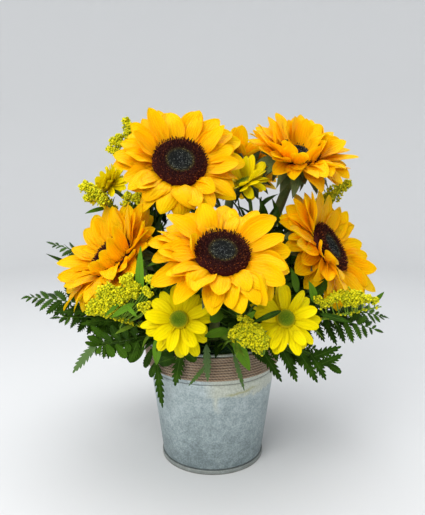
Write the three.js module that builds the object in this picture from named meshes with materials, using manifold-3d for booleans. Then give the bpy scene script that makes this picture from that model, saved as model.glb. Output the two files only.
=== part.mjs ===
// A sunflower arrangement in a small galvanized bucket with a band of jute rope.
// Millimetres, +Z up. The origin is on the bucket's axis, on the plane it stands on, and the front faces -Y.
// A block of floral foam fills the bucket, and every stem, spray and frond is pushed into it.
import * as THREE from "three";
import { mergeVertices } from "three/addons/utils/BufferGeometryUtils.js";
import Module from "manifold-3d";

const wasm = await Module();
wasm.setup();

// ---- Driving dimensions ----

const GAP = 0.3; // clearance between pieces that rest against each other

const BUCKET = {
  height: 120, // foot to the top of the rolled rim
  footRadius: 47.5, // outside of the sheet at the foot
  rimRadius: 62.3, // outside of the sheet at the rim
  sheet: 0.8, // sheet thickness
  beadRadius: 1.5, // rolled wire rim
  grooveHeight: 90, // pressed ring under the rope
  grooveDepth: 0.9,
  sides: 24,
};
const FOOT = { height: 4, thickness: 0.8, inner: 45.4 }; // folded hoop that grips the foot of the sheet
const BASE = { height: 3.4, thickness: 0.8 }; // recessed floor
const ROPE = { turns: 9, diameter: 2.55, lowest: 93.6 }; // and one last turn around the rolled rim
const FOAM = { top: 127, shoulder: 121.5, clearance: 0.5 };

// A head's own frame has its face along +Z, with the petals' collar standing on the plane z = 0.
const SUNFLOWER = {
  collar: { width: 4, height: 1.4 },
  discHeight: 8.5,
  cupDepth: 12, // head plane down to the top of the stem
  petal: { halves: [3.6, 8.4, 1.2], thickness: 0.8 }, // half widths along the petal
  outerPetals: 12,
  innerPetals: 7,
  bract: { halves: [5.5, 0.6], thickness: 0.9, length: 19 },
  bracts: 8,
  stemRadius: 4.4,
  footHeight: 64, // where the stem ends inside the foam
};
const DAISY = {
  collar: { width: 3, height: 0.9 },
  discRadius: 6.6,
  discHeight: 4.2,
  cupDepth: 5,
  petal: { halves: [1.7, 4, 2.2], thickness: 0.7 },
  petals: 11,
  stemRadius: 1.7,
  footHeight: 98,
};
const STALK = { goldenrod: 1.5, fern: 1.3, leafy: 1.4 }; // radii
const STEM_STEPS = 8;
const GOLDEN_ANGLE = 137.5; // degrees between one leaf and the next around a stalk

// ---- Layout ----

// Flower heads: the middle of the head's plane and the way it faces, the length of its petals, their lift above
// that plane and their curl along their length in degrees, and where the stem enters the foam.
const SUNFLOWERS = [
  { at: [-28, -34, 278], faces: [0.13, -0.8, 0.58], disc: 25, petal: 37, lift: 20, curl: -12, foot: [-8, -4] },
  { at: [7, -104, 211], faces: [0.09, -0.64, 0.76], disc: 22.5, petal: 35, lift: 14, curl: -18, foot: [0, -16] },
  { at: [-82, -50, 199], faces: [-0.58, -0.46, 0.67], disc: 22, petal: 37, lift: 36, curl: -20, foot: [-18, -6] },
  { at: [99, -30, 204], faces: [0.75, -0.42, 0.52], disc: 25, petal: 36, lift: 20, curl: -10, foot: [18, -6] },
  { at: [76, -8, 284], faces: [0.2, -0.5, 0.84], disc: 20, petal: 36, lift: 32, curl: -6, foot: [14, 10] },
  { at: [24, 62, 272], faces: [0.2, 0.62, 0.76], disc: 22, petal: 36, lift: 22, curl: -12, foot: [2, 12] },
];
const DAISIES = [
  { at: [-25, -112, 164], faces: [0.02, -0.84, 0.54], petal: 21, lift: 12, curl: -26, foot: [-14, -34] },
  { at: [55, -106, 163], faces: [0.06, -0.84, 0.54], petal: 21, lift: 12, curl: -16, foot: [14, -34] },
  { at: [-92, -8, 258], faces: [-0.8, -0.1, 0.6], petal: 20, lift: 26, curl: -10, foot: [-26, 14] },
  { at: [28, -21, 261], faces: [-0.4, -0.2, 0.9], petal: 17, lift: 20, curl: -8, foot: [4, -18] },
  { at: [-32, 104, 190], faces: [-0.16, 0.8, 0.58], petal: 21, lift: 12, curl: -20, foot: [-10, 32] },
];

// Foliage: a stalk's foot in the foam, two points that steer its arch, and its tip.
const GOLDENRODS = [
  { route: [[-24, -30, 108], [-48, -70, 142], [-62, -90, 160], [-96, -102, 167]], plume: 13 },
  { route: [[-30, 4, 106], [-62, 14, 190], [-84, 22, 236], [-122, 16, 262]], plume: 8 },
  { route: [[-10, 16, 100], [-50, 22, 220], [-68, 20, 280], [-80, 10, 320]], plume: 7.5 },
  { route: [[28, 16, 104], [64, 28, 190], [92, 24, 236], [130, 16, 262]], plume: 8 },
  { route: [[32, -20, 108], [62, -44, 138], [90, -64, 152], [138, -72, 164]], plume: 8.5 },
  { route: [[4, -40, 110], [10, -70, 134], [14, -88, 150], [38, -116, 139]], plume: 13 },
  { route: [[20, 30, 106], [46, 66, 160], [58, 84, 196], [74, 104, 226]], plume: 8.5 },
];
const FERNS = [
  { route: [[-36, -8, 118], [-80, -22, 150], [-120, -34, 160], [-165, -42, 166]], half: 24 },
  { route: [[-34, -26, 120], [-70, -48, 142], [-96, -62, 136], [-120, -72, 110]], half: 22 },
  { route: [[-20, -38, 118], [-38, -62, 142], [-48, -84, 118], [-44, -84, 78]], half: 15 },
  { route: [[22, -40, 120], [52, -72, 134], [82, -84, 132], [112, -88, 118]], half: 24 },
  { route: [[40, 2, 118], [84, -8, 146], [124, -6, 148], [165, -2, 136]], half: 24 },
  { route: [[-38, 10, 118], [-80, 14, 168], [-114, 14, 194], [-150, 6, 204]], half: 20 },
  { route: [[34, 24, 120], [76, 50, 150], [112, 66, 156], [142, 78, 150]], half: 22 },
  { route: [[6, 42, 120], [10, 88, 152], [12, 120, 154], [12, 150, 140]], half: 26 },
  { route: [[-30, 30, 120], [-66, 62, 146], [-90, 84, 148], [-112, 104, 134]], half: 24 },
  { route: [[-2, -44, 118], [1, -66, 138], [0, -82, 122], [-8, -84, 90]], half: 11 },
];
// first turns a leafy stem's lowest leaf about its stalk, in degrees.
const LEAFY_STEMS = [
  { route: [[-26, -20, 112], [-42, -60, 158], [-50, -82, 184], [-53, -92, 206]], leaves: 4, first: 145, length: 34 },
  { route: [[14, 0, 100], [36, 10, 170], [44, 14, 214], [46, 14, 248]], leaves: 5, first: 60, length: 40 },
  { route: [[14, -30, 112], [22, -62, 144], [30, -90, 168], [31, -120, 178]], leaves: 3, first: 0, length: 32 },
  { route: [[34, -2, 108], [70, -8, 142], [86, -16, 160], [98, -26, 172]], leaves: 4, first: 0, length: 40 },
  { route: [[-34, 0, 108], [-62, -12, 146], [-74, -18, 168], [-84, -26, 184]], leaves: 4, first: 60, length: 40 },
];

// ---- Materials ----

const finish = (color, roughness, metalness = 0) =>
  new THREE.MeshStandardMaterial({ color, roughness, metalness });
const zinc = finish(0xa9b7bd, 0.5, 0.8);
const jute = finish(0x9a7a62, 0.95);
const foamGreen = finish(0x35512f, 0.95);
const stemGreen = finish(0x4d6128, 0.7);
const fernGreen = finish(0x24481a, 0.55);
const leafGreen = finish(0x3d7220, 0.55);
const sunflowerYellow = finish(0xf9a806, 0.6);
const seedBrown = finish(0x32130f, 0.9);
const daisyYellow = finish(0xf6e005, 0.6);
const daisyGreen = finish(0x6f8a12, 0.8);
const goldenrodYellow = finish(0xd9cf10, 0.8);

// ---- Shape helpers ----

const vector = (p) => new THREE.Vector3(...p);
const radians = THREE.MathUtils.degToRad;
const repeat = (count, make) => Array.from({ length: count }, (_, i) => make(i));
const curveThrough = (route) => new THREE.CubicBezierCurve3(...route.map(vector));

// A closed solid through a row of rings, each with the same number of corners, flat at both ends.
function loft(rings) {
  const corners = rings[0].length;
  const index = [];
  for (let i = 0; i + 1 < rings.length; i++)
    for (let j = 0; j < corners; j++) {
      const a = i * corners + j;
      const b = i * corners + ((j + 1) % corners);
      index.push(a, b, b + corners, a, b + corners, a + corners);
    }
  const last = (rings.length - 1) * corners;
  for (let j = 1; j + 1 < corners; j++) {
    index.push(0, j + 1, j);
    index.push(last, last + j, last + j + 1);
  }
  return new THREE.BufferGeometry().setFromPoints(rings.flat()).setIndex(index);
}

// A profile of [radius, height] pairs turned about Z. It starts and ends on the axis, or closes on itself.
function turned(profile, sides) {
  const points = profile.map(([radius, height]) => new THREE.Vector2(radius, height));
  return new THREE.LatheGeometry(points, sides).rotateX(Math.PI / 2);
}

// A closed mesh as a manifold solid, with its faces turned to point out.
function solid(geometry) {
  geometry.deleteAttribute("normal");
  geometry.deleteAttribute("uv");
  const merged = mergeVertices(geometry, 1e-4);
  const vertProperties = merged.attributes.position.array;
  const triVerts = new Uint32Array(merged.index.array);
  const made = new wasm.Manifold(new wasm.Mesh({ numProp: 3, vertProperties, triVerts }));
  if (made.volume() > 0) return made;
  triVerts.reverse();
  return new wasm.Manifold(new wasm.Mesh({ numProp: 3, vertProperties, triVerts }));
}

const joined = (geometries) => geometries.map(solid).reduce((all, next) => all.add(next));

// Where a curve is at share t of its length, with the directions along, beside and above it.
function station(curve, t) {
  const along = curve.getTangent(t);
  const across = new THREE.Vector3(0, 0, 1).cross(curve.v0.clone().sub(curve.v3));
  const up = new THREE.Vector3().crossVectors(across, along).normalize();
  return { at: curve.getPoint(t), along, side: new THREE.Vector3().crossVectors(along, up), up };
}

// A six-sided tube along a curve up to a share of it. radiusAt gives its radius at a share of the curve.
function tube(curve, radiusAt, steps, upTo = 1) {
  const rings = repeat(steps + 1, (i) => {
    const { at, side, up } = station(curve, (upTo * i) / steps);
    const radius = radiusAt((upTo * i) / steps);
    return repeat(6, (j) => {
      const angle = (Math.PI * j) / 3;
      const point = at.clone().addScaledVector(side, radius * Math.cos(angle));
      return point.addScaledVector(up, radius * Math.sin(angle));
    });
  });
  return loft(rings);
}

// ---- Bucket ----

const wallRadius = (z) => THREE.MathUtils.lerp(BUCKET.footRadius, BUCKET.rimRadius, z / BUCKET.height);

function bucketBody() {
  const { height, sheet, beadRadius, grooveHeight, grooveDepth, sides } = BUCKET;
  const outside = (z, inset = 0) => [wallRadius(z) - inset, z];
  const inside = (z, inset = 0) => [wallRadius(z) - sheet - inset, z];
  const beadHeight = height - beadRadius;
  const beadMiddle = wallRadius(beadHeight) + 0.4 * beadRadius;
  const bead = [-80, -30, 30, 90, 150].map((degrees) => [
    beadMiddle + beadRadius * Math.cos(radians(degrees)),
    beadHeight + beadRadius * Math.sin(radians(degrees)),
  ]);
  const foot = FOOT.thickness + GAP;
  const grooveHalf = 1.6;
  const profile = [
    outside(foot),
    outside(grooveHeight - grooveHalf),
    outside(grooveHeight, grooveDepth),
    outside(grooveHeight + grooveHalf),
    outside(beadHeight - beadRadius),
    ...bead,
    inside(grooveHeight + grooveHalf),
    inside(grooveHeight, grooveDepth),
    inside(grooveHeight - grooveHalf),
    inside(foot),
    outside(foot),
  ];
  return turned(profile, sides);
}

// An angle ring: its flange lies under the sheet's foot and its wall stands around it.
function footHoop() {
  const { height, thickness, inner } = FOOT;
  const wall = wallRadius(height) + GAP;
  const profile = [
    [inner, 0],
    [wall + thickness, 0],
    [wall + thickness, height],
    [wall, height],
    [wall, thickness],
    [inner, thickness],
    [inner, 0],
  ];
  return turned(profile, BUCKET.sides);
}

// The floor: a disc whose turned-down edge stands on the hoop's flange.
function bucketBase() {
  const { height, thickness } = BASE;
  const outer = wallRadius(FOOT.thickness) - BUCKET.sheet - GAP;
  const foot = FOOT.thickness + GAP;
  const profile = [
    [0, height],
    [outer - thickness, height],
    [outer - thickness, foot],
    [outer, foot],
    [outer, height + thickness],
    [0, height + thickness],
  ];
  return turned(profile, BUCKET.sides);
}

// The rope band: one ring whose outside swells once for each turn of the rope. The last turn lies around the
// rolled rim, so it stands farther out than the rest.
function ropeWrap() {
  const { turns, diameter, lowest } = ROPE;
  const valley = 0.55 * diameter;
  const shoulder = lowest + turns * diameter;
  const rim = wallRadius(BUCKET.height) + 1.4 * BUCKET.beadRadius + GAP;
  const seat = (z) => [wallRadius(z) + GAP, z];
  const swells = repeat(2 * turns + 1, (i) => {
    const z = lowest + (i * diameter) / 2;
    return [wallRadius(z) + GAP + (i % 2 ? diameter : valley), z];
  });
  const lastTurn = [
    [rim + valley, shoulder + 0.25 * diameter],
    [rim + diameter, shoulder + 0.6 * diameter],
    [rim + valley, shoulder + diameter],
    [rim, shoulder + diameter],
    [rim, shoulder + 0.25 * diameter],
  ];
  return turned([seat(lowest), ...swells, ...lastTurn, seat(shoulder - 0.1), seat(lowest)], BUCKET.sides);
}

// The foam block, domed above the rim, before the stems are pushed into it.
function foamBlock() {
  const { top, shoulder, clearance } = FOAM;
  const bottom = BASE.height + BASE.thickness + GAP;
  const inside = (z) => wallRadius(z) - BUCKET.sheet - BUCKET.grooveDepth - clearance;
  const rim = inside(BUCKET.height);
  const profile = [
    [0, bottom],
    [inside(bottom) - 1, bottom],
    [rim, BUCKET.height],
    [rim - 2, shoulder],
    [rim * 0.57, top - 1],
    [0, top],
  ];
  return turned(profile, BUCKET.sides);
}

// ---- Flower heads ----

// Carries a solid made in a head's own frame to its place, with the first petal near the top.
function placed(made, { at, faces, spin }) {
  const face = vector(faces).normalize();
  const across = new THREE.Vector3(0, 0, 1).cross(face).normalize();
  const upward = new THREE.Vector3().crossVectors(face, across);
  const frame = new THREE.Matrix4().makeBasis(upward, across, face);
  frame.multiply(new THREE.Matrix4().makeRotationZ(radians(spin))).setPosition(vector(at));
  return made.transform(frame.elements);
}

// One petal or bract, thickest along its rib. It leaves the radius from at the given height, rises at lift
// degrees and bends by curl along its length.
function petal({ from, height, length, lift, curl, halves, thickness }, azimuth) {
  const turn = new THREE.Matrix4().makeRotationZ(radians(azimuth));
  const step = length / (halves.length - 1);
  const rib = new THREE.Vector2(from, height);
  const rings = halves.map((half, i) => {
    const angle = radians(lift + (curl * i) / (halves.length - 1));
    const { x, y } = rib;
    rib.x += step * Math.cos(angle);
    rib.y += step * Math.sin(angle);
    const corners = [
      [x, -half, y],
      [x, half, y],
      [x - thickness * Math.sin(angle), 0, y + thickness * Math.cos(angle)],
    ];
    return corners.map((corner) => vector(corner).applyMatrix4(turn));
  });
  return loft(rings);
}

const whorl = (count, start, shape) => repeat(count, (i) => petal(shape, start + (360 * i) / count));

function collarRing(radius, { width, height }, sides) {
  const [inner, outer] = [radius - width, radius + 1];
  return turned([[inner, 0], [outer, 0], [outer, height], [inner, height], [inner, 0]], sides);
}

function sunflowerPetals({ disc, petal: length, lift, curl }) {
  const { collar, petal: shape, outerPetals, innerPetals } = SUNFLOWER;
  const outer = { ...shape, from: disc - 0.5, height: 0.2, length, lift: lift - 12, curl };
  const inner = { ...outer, height: 0.9, length: 0.88 * length, lift: lift + 14 };
  return joined([
    collarRing(disc, collar, 12),
    ...whorl(outerPetals, 0, outer),
    ...whorl(innerPetals, 180 / outerPetals, inner),
  ]);
}

function sunflowerDisc({ disc }) {
  const low = SUNFLOWER.collar.height + GAP;
  const high = low + SUNFLOWER.discHeight;
  const edge = disc - 1;
  const profile = [
    [0, low],
    [edge - 0.6, low],
    [edge, low + 3],
    [edge * 0.8, high],
    [edge * 0.45, high - 1],
    [0, high - 2.5],
  ];
  return solid(turned(profile, 14));
}

// The green cup that carries the head, with its pointed bracts.
function sunflowerCup({ disc }) {
  const { cupDepth, stemRadius, bract, bracts } = SUNFLOWER;
  const edge = -2.6;
  const profile = [
    [0, -cupDepth],
    [stemRadius + 1, -cupDepth],
    [disc + 0.5, edge],
    [disc - 0.5, -GAP],
    [0, -GAP],
  ];
  const shape = { ...bract, from: disc - 3, height: edge - 0.6, lift: -4, curl: -26 };
  return joined([turned(profile, 12), ...whorl(bracts, 8, shape)]);
}

function daisyPetals({ petal: length, lift, curl }) {
  const { collar, discRadius, petal: shape, petals } = DAISY;
  const ray = { ...shape, from: discRadius - 0.6, height: 0.1, length, lift, curl };
  return joined([collarRing(discRadius, collar, 10), ...whorl(petals, 0, ray)]);
}

function daisyDisc() {
  const { discRadius, discHeight, collar } = DAISY;
  const low = collar.height + GAP;
  const profile = [
    [0, low],
    [discRadius - 0.3, low],
    [discRadius, low + 1.2],
    [discRadius * 0.7, low + discHeight * 0.8],
    [0, low + discHeight],
  ];
  return solid(turned(profile, 10));
}

function daisyCup() {
  const { cupDepth, discRadius, stemRadius } = DAISY;
  const profile = [
    [0, -cupDepth],
    [stemRadius, -cupDepth],
    [discRadius * 0.9, -cupDepth * 0.5],
    [discRadius, -GAP],
    [0, -GAP],
  ];
  return solid(turned(profile, 8));
}

// A head's stem rises out of the foam and arrives along the way the head faces.
function stemCurve({ at, faces, foot }, { cupDepth, footHeight }) {
  const face = vector(faces).normalize();
  const neck = vector(at).addScaledVector(face, 0.6 - cupDepth);
  const start = vector([...foot, footHeight]);
  const reach = start.distanceTo(neck);
  const rise = new THREE.Vector3(0, 0, 1).lerp(neck.clone().sub(start).normalize(), 0.45).normalize();
  const lower = start.clone().addScaledVector(rise, 0.45 * reach);
  const upper = neck.clone().addScaledVector(face, -0.28 * reach);
  return new THREE.CubicBezierCurve3(start, lower, upper, neck);
}

// ---- Foliage ----

// A frond as one toothed blade: the outline runs out to each leaflet's tip and back to the rachis.
function fernFrond(curve, { half }) {
  const leafletPairs = 7;
  const bare = 0.26;
  const thickness = 1;
  const ring = (t, width, sweep) => {
    const { at, along, side, up } = station(curve, t);
    const corner = (sign, level) => {
      const droop = sign ? -0.16 * width : 0;
      const point = at.clone().addScaledVector(side, sign * width).addScaledVector(along, sign ? sweep : 0);
      return point.addScaledVector(up, droop + level * thickness);
    };
    const under = [-1, 0, 1].map((sign) => corner(sign, -0.5));
    const over = [1, 0, -1].map((sign) => corner(sign, 0.5));
    return [...under, ...over];
  };
  const rings = [0, 0.1, 0.2].map((t) => ring(t, STALK.fern, 0));
  for (let i = 0; i < leafletPairs; i++) {
    const share = (i + 0.5) / leafletPairs;
    const width = Math.max(2.4, half * Math.pow(Math.sin(Math.PI * (0.16 + 0.84 * share)), 0.8));
    const notch = i + 1 < leafletPairs ? 1.6 : 0.8;
    rings.push(ring(bare + (1 - bare) * share, width, 0.42 * width));
    rings.push(ring(bare + ((1 - bare) * (i + 1)) / leafletPairs, notch, 0));
  }
  return solid(loft(rings));
}

// A thin stalk that ends in a lumpy plume of small flowers.
function goldenrodSpray(curve, { plume }) {
  const begins = 0.6;
  const radiusAt = (t) => {
    if (t < begins) return STALK.goldenrod;
    const share = (t - begins) / (1 - begins);
    const lump = 1 + 0.14 * Math.cos(7 * Math.PI * share);
    return Math.max(1, lump * plume * Math.sin(Math.PI * Math.pow(0.06 + 0.9 * share, 0.7)));
  };
  return solid(tube(curve, radiusAt, 2 * STEM_STEPS));
}

// One narrow leaf that leaves a stalk at a share of its length, turned about it by degrees.
function leafOn(curve, share, turn, length) {
  const { at, along, side, up } = station(curve, share);
  const out = side.multiplyScalar(Math.cos(radians(turn))).addScaledVector(up, Math.sin(radians(turn)));
  const width = new THREE.Vector3().crossVectors(along, out).normalize();
  const rib = along.clone().sub(out).normalize();
  const halves = [1.2, 4.6, 4.4, 0.5];
  const rings = halves.map((half, i) => {
    const s = i / (halves.length - 1);
    const rise = 0.72 * s - 0.3 * s * s;
    const middle = at.clone().addScaledVector(out, 0.72 * length * s).addScaledVector(along, length * rise);
    return [
      middle.clone().addScaledVector(width, -half),
      middle.clone().addScaledVector(width, half),
      middle.clone().add(rib),
    ];
  });
  return loft(rings);
}

function leafyStem(curve, { leaves, first, length }) {
  const radiusAt = (t) => Math.min(1, 3.8 - 3.3 * t) * STALK.leafy;
  const blades = repeat(leaves, (i) => {
    const share = 0.4 + (0.5 * i) / (leaves - 1);
    return leafOn(curve, share, first + GOLDEN_ANGLE * i, length * (1 - 0.06 * i));
  });
  return joined([tube(curve, radiusAt, STEM_STEPS), ...blades]);
}

// ---- The arrangement ----

const arrangement = new THREE.Group();
const pushedIn = []; // each stalk in the foam, as its curve and radius

function addPiece(name, made, material) {
  const { vertProperties, triVerts } = made.getMesh();
  const geometry = new THREE.BufferGeometry();
  geometry.setAttribute("position", new THREE.BufferAttribute(vertProperties, 3));
  geometry.setIndex(new THREE.BufferAttribute(triVerts, 1));
  geometry.computeVertexNormals();
  const mesh = new THREE.Mesh(geometry, material);
  mesh.name = name;
  arrangement.add(mesh);
}

function addFlower(name, head, sizes, { cup, petals, disc }, petalColour, discColour) {
  const curve = stemCurve(head, sizes);
  pushedIn.push({ curve, radius: sizes.stemRadius });
  const stem = solid(tube(curve, () => sizes.stemRadius, STEM_STEPS));
  addPiece(`${name}_stem`, stem.add(placed(cup, head)), stemGreen);
  addPiece(`${name}_petals`, placed(petals, head), petalColour);
  addPiece(`${name}_disc`, placed(disc, head), discColour);
}

function addFoliage(name, list, make, radius, material) {
  list.forEach((piece, i) => {
    const curve = curveThrough(piece.route);
    pushedIn.push({ curve, radius });
    addPiece(`${name}_${i + 1}`, make(curve, piece), material);
  });
}

// The hole of one stalk: a little wider and deeper than the stalk, up to where it has left the foam.
function holeFor({ curve, radius }) {
  const buried = ({ x, y, z }) => z < FOAM.top + 2 && Math.hypot(x, y) < BUCKET.rimRadius;
  let steps = 1;
  while (buried(curve.getPoint(steps / STEM_STEPS))) steps++;
  const deeper = curve.clone();
  deeper.v0.addScaledVector(curve.getTangent(0), -GAP - 0.1);
  const holeRadius = (radius + GAP) / Math.cos(Math.PI / 6);
  return solid(tube(deeper, () => holeRadius, steps, steps / STEM_STEPS));
}

addPiece("bucket_body", solid(bucketBody()), zinc);
addPiece("bucket_base", solid(bucketBase()), zinc);
addPiece("foot_hoop", solid(footHoop()), zinc);
addPiece("rope_wrap", solid(ropeWrap()), jute);

SUNFLOWERS.forEach((flower, i) => {
  const head = { ...flower, spin: (5 * i) % 12 };
  const parts = { cup: sunflowerCup(head), petals: sunflowerPetals(head), disc: sunflowerDisc(head) };
  addFlower(`sunflower_${i + 1}`, head, SUNFLOWER, parts, sunflowerYellow, seedBrown);
});

DAISIES.forEach((flower, i) => {
  const head = { ...flower, spin: (7 * i) % 15 };
  const parts = { cup: daisyCup(), petals: daisyPetals(head), disc: daisyDisc() };
  addFlower(`daisy_${i + 1}`, head, DAISY, parts, daisyYellow, daisyGreen);
});

addFoliage("goldenrod", GOLDENRODS, goldenrodSpray, STALK.goldenrod, goldenrodYellow);
addFoliage("fern", FERNS, fernFrond, STALK.fern, fernGreen);
addFoliage("leafy_stem", LEAFY_STEMS, leafyStem, STALK.leafy, leafGreen);

const foam = pushedIn.map(holeFor).reduce((block, hole) => block.subtract(hole), solid(foamBlock()));
addPiece("floral_foam", foam, foamGreen);

export default arrangement;
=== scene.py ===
# %% [markdown]
# # Sunflowers in a galvanized bucket
# This notebook dresses a plain construction model as a florist's arrangement: six sunflowers, five daisies,
# goldenrod, fern fronds and leafy sprigs, all pushed into a block of foam in a small bucket with a rope band.
# The construction holds the true sizes and places, and every piece made here stands where its plain solid
# stands. Lengths inside the notebook are millimetres; the last step of each piece turns them into metres.

# %% Load the fixed frame
import math

import bpy
import numpy as np
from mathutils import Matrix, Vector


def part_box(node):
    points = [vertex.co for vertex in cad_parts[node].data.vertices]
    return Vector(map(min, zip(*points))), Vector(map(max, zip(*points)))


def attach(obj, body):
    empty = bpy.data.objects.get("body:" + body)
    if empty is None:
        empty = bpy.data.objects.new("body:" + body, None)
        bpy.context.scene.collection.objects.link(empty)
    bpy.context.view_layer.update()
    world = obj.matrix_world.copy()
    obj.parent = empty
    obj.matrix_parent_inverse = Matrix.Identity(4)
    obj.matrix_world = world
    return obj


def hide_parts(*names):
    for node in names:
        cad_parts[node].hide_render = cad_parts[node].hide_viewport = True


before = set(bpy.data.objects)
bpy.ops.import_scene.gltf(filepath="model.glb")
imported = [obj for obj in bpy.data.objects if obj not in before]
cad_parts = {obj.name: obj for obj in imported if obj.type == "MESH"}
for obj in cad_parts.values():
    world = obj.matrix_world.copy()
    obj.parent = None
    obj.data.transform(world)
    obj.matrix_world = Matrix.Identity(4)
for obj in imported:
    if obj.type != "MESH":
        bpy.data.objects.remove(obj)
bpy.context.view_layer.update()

MM = 0.001
GOLDEN = math.radians(137.508)

# %% [markdown]
# ## Camera
# The arrangement is seen from half a metre away, a little above its middle and looking slightly down, as a
# person at a table would see it. The camera comes first, because every later choice is judged through it.

# %% Camera
camera_data = bpy.data.cameras.new("camera")
camera_data.sensor_width = 36
camera_data.lens = 38.45
camera_data.clip_start = 0.02
camera = bpy.data.objects.new("camera", camera_data)
camera.location = (0, -0.508, 0.280)
camera.rotation_euler = (math.radians(90 - 9.8), 0, 0)
bpy.context.scene.collection.objects.link(camera)
bpy.context.scene.camera = camera
bpy.context.scene.view_settings.view_transform = "Standard"
print("camera", tuple(camera.location))

# %% [markdown]
# ## Skins
# Almost everything on a flower is a skin over a row of rings: a petal, a stem, a floret and a strand of rope
# differ only in how their rings are worked out. So one helper turns rings into faces, and it handles a whole
# batch of equal pieces at once, which keeps hundreds of florets as quick to make as one.


# %% Rings become closed skins
def skin(rings, closed=False, **values):
    """Joins each ring to the next with four-cornered faces.

    rings is (pieces, stations, corners, 3), with corners running anticlockwise about the way the stations
    travel. An open row gets a cap at each end; a closed row joins its last ring to its first.
    values are numbers that each point carries to the material, such as its share along a petal.
    """
    pieces, stations, corners, _ = rings.shape
    index = np.arange(pieces * stations * corners).reshape(pieces, stations, corners)
    near = index if closed else index[:, :-1]
    far = np.roll(index, -1, 1) if closed else index[:, 1:]
    quads = np.stack([near, np.roll(near, -1, 2), np.roll(far, -1, 2), far], -1).reshape(-1, 4)
    caps = np.zeros((0, corners), int) if closed else np.concatenate([index[:, 0, ::-1], index[:, -1]])
    shape = (pieces, stations, corners)
    spread = {key: np.broadcast_to(value, shape).ravel() for key, value in values.items()}
    return {"points": rings.reshape(-1, 3), "quads": quads, "caps": caps, "values": spread}


def build(name, skins, material, replaces):
    """Puts skins into one mesh object that rides on the frame and stands for the named CAD nodes."""
    points = np.concatenate([part["points"] for part in skins]) * MM
    offsets = np.cumsum([0] + [len(part["points"]) for part in skins[:-1]])
    groups = [part["quads"] + offset for part, offset in zip(skins, offsets)]
    groups += [part["caps"] + offset for part, offset in zip(skins, offsets)]
    loops = np.concatenate([group.ravel() for group in groups])
    sizes = np.concatenate([np.full(len(group), group.shape[1]) for group in groups])
    mesh = bpy.data.meshes.new(name)
    mesh.vertices.add(len(points))
    mesh.vertices.foreach_set("co", points.ravel())
    mesh.loops.add(len(loops))
    mesh.loops.foreach_set("vertex_index", loops)
    mesh.polygons.add(len(sizes))
    mesh.polygons.foreach_set("loop_start", np.cumsum(sizes) - sizes)
    mesh.polygons.foreach_set("use_smooth", np.ones(len(sizes), bool))
    mesh.update(calc_edges=True)
    mesh.set_sharp_from_angle(angle=math.radians(70))
    for key in sorted({key for part in skins for key in part["values"]}):
        filled = [part["values"].get(key, np.zeros(len(part["points"]))) for part in skins]
        mesh.attributes.new(key, "FLOAT", "POINT").data.foreach_set("value", np.concatenate(filled))
    mesh.materials.append(material)
    piece = bpy.data.objects.new(name, mesh)
    bpy.context.scene.collection.objects.link(piece)
    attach(piece, "root")
    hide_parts(*replaces)
    print(f"{name}: {int((sizes - 2).sum())} triangles")

# %% [markdown]
# ## Paths
# A sweep carries a small outline along a path. Each station needs three directions: along the path, beside it
# and above it. Here the side is always level, square to the upright, so a gentle curve doesn't twist.


# %% Paths and tubes
def unit(vectors):
    """Each vector divided by its own length."""
    return vectors / np.maximum(np.linalg.norm(vectors, axis=-1, keepdims=True), 1e-9)


def bezier(corners, share):
    """A cubic curve through its first and last corner, steered by the two between: the Bernstein formula."""
    t = np.asarray(share, float)[..., None]
    a, b, c, d = (np.asarray(corner, float) for corner in corners)
    return a * (1 - t) ** 3 + 3 * b * t * (1 - t) ** 2 + 3 * c * t**2 * (1 - t) + d * t**3


def across_way(way):
    """Two directions square to each way: beside it, which is way crossed with upright, and above that."""
    side = unit(np.cross(way, (0, 0, 1)))
    return side, np.cross(side, way)


def frames_along(path):
    """Directions along, beside and above each point of a path."""
    along = unit(np.gradient(path, axis=-2))
    return along, *across_way(along)


def tube(path, radius, corners, **values):
    """A round skin along a path: each ring is the path's point plus the radius times a turning direction.

    radius is one number, one a station, or one for each station and corner.
    """
    _, side, up = frames_along(path)
    angle = 2 * np.pi * np.arange(corners) / corners
    turning = side[:, None] * np.cos(angle)[:, None] - up[:, None] * np.sin(angle)[:, None]
    reach = np.asarray(radius, float)
    reach = reach[:, None] if reach.ndim == 1 else reach
    rings = path[:, None] + turning * np.broadcast_to(reach, (len(path), corners))[..., None]
    return skin(rings[None], along=np.linspace(0, 1, len(path))[None, :, None], **values)


def turned(profile, sides, axes=np.eye(3), origin=(0, 0, 0), closed=False, **values):
    """A profile of radius and height turned round an axis: radius times cosine, radius times sine, height."""
    angle = 2 * np.pi * np.arange(sides) / sides
    radius, height = np.asarray(profile, float).T[..., None]
    local = np.stack(np.broadcast_arrays(radius * np.cos(angle), radius * np.sin(angle), height), -1)
    rings = np.asarray(origin) + local @ np.asarray(axes)
    return skin(rings[None], closed=closed, **values)


def placed(rings, origins, axes):
    """Carries pieces from their own frame to their places: origin plus x, y and z times the piece's axes.

    rings is (pieces, stations, corners, 3), origins (pieces, 3), and axes (pieces, 3, 3) with one axis a row.
    """
    return origins[:, None, None] + np.einsum("knmi,kij->knmj", rings, axes)


def aimed(directions, uppers):
    """Axes for pieces that point along directions with their faces towards uppers."""
    forward = unit(directions)
    across = unit(np.cross(np.broadcast_to(uppers, forward.shape), forward))
    return np.stack([forward, across, np.cross(forward, across)], 1)


print("path and placing helpers ready")

# %% [markdown]
# ## Blades
# Petals, bracts, leaves and fern leaflets are all blades: a midrib that rises and curls, with a half width
# that swells and narrows along it, hollowed or folded across. The outline is a plain row of half widths, so
# the same function draws a broad petal and a saw-toothed leaflet. Real petals are thinner than a fingernail,
# but they have two faces, so each blade is a closed flat skin and not a single sheet.


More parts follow.
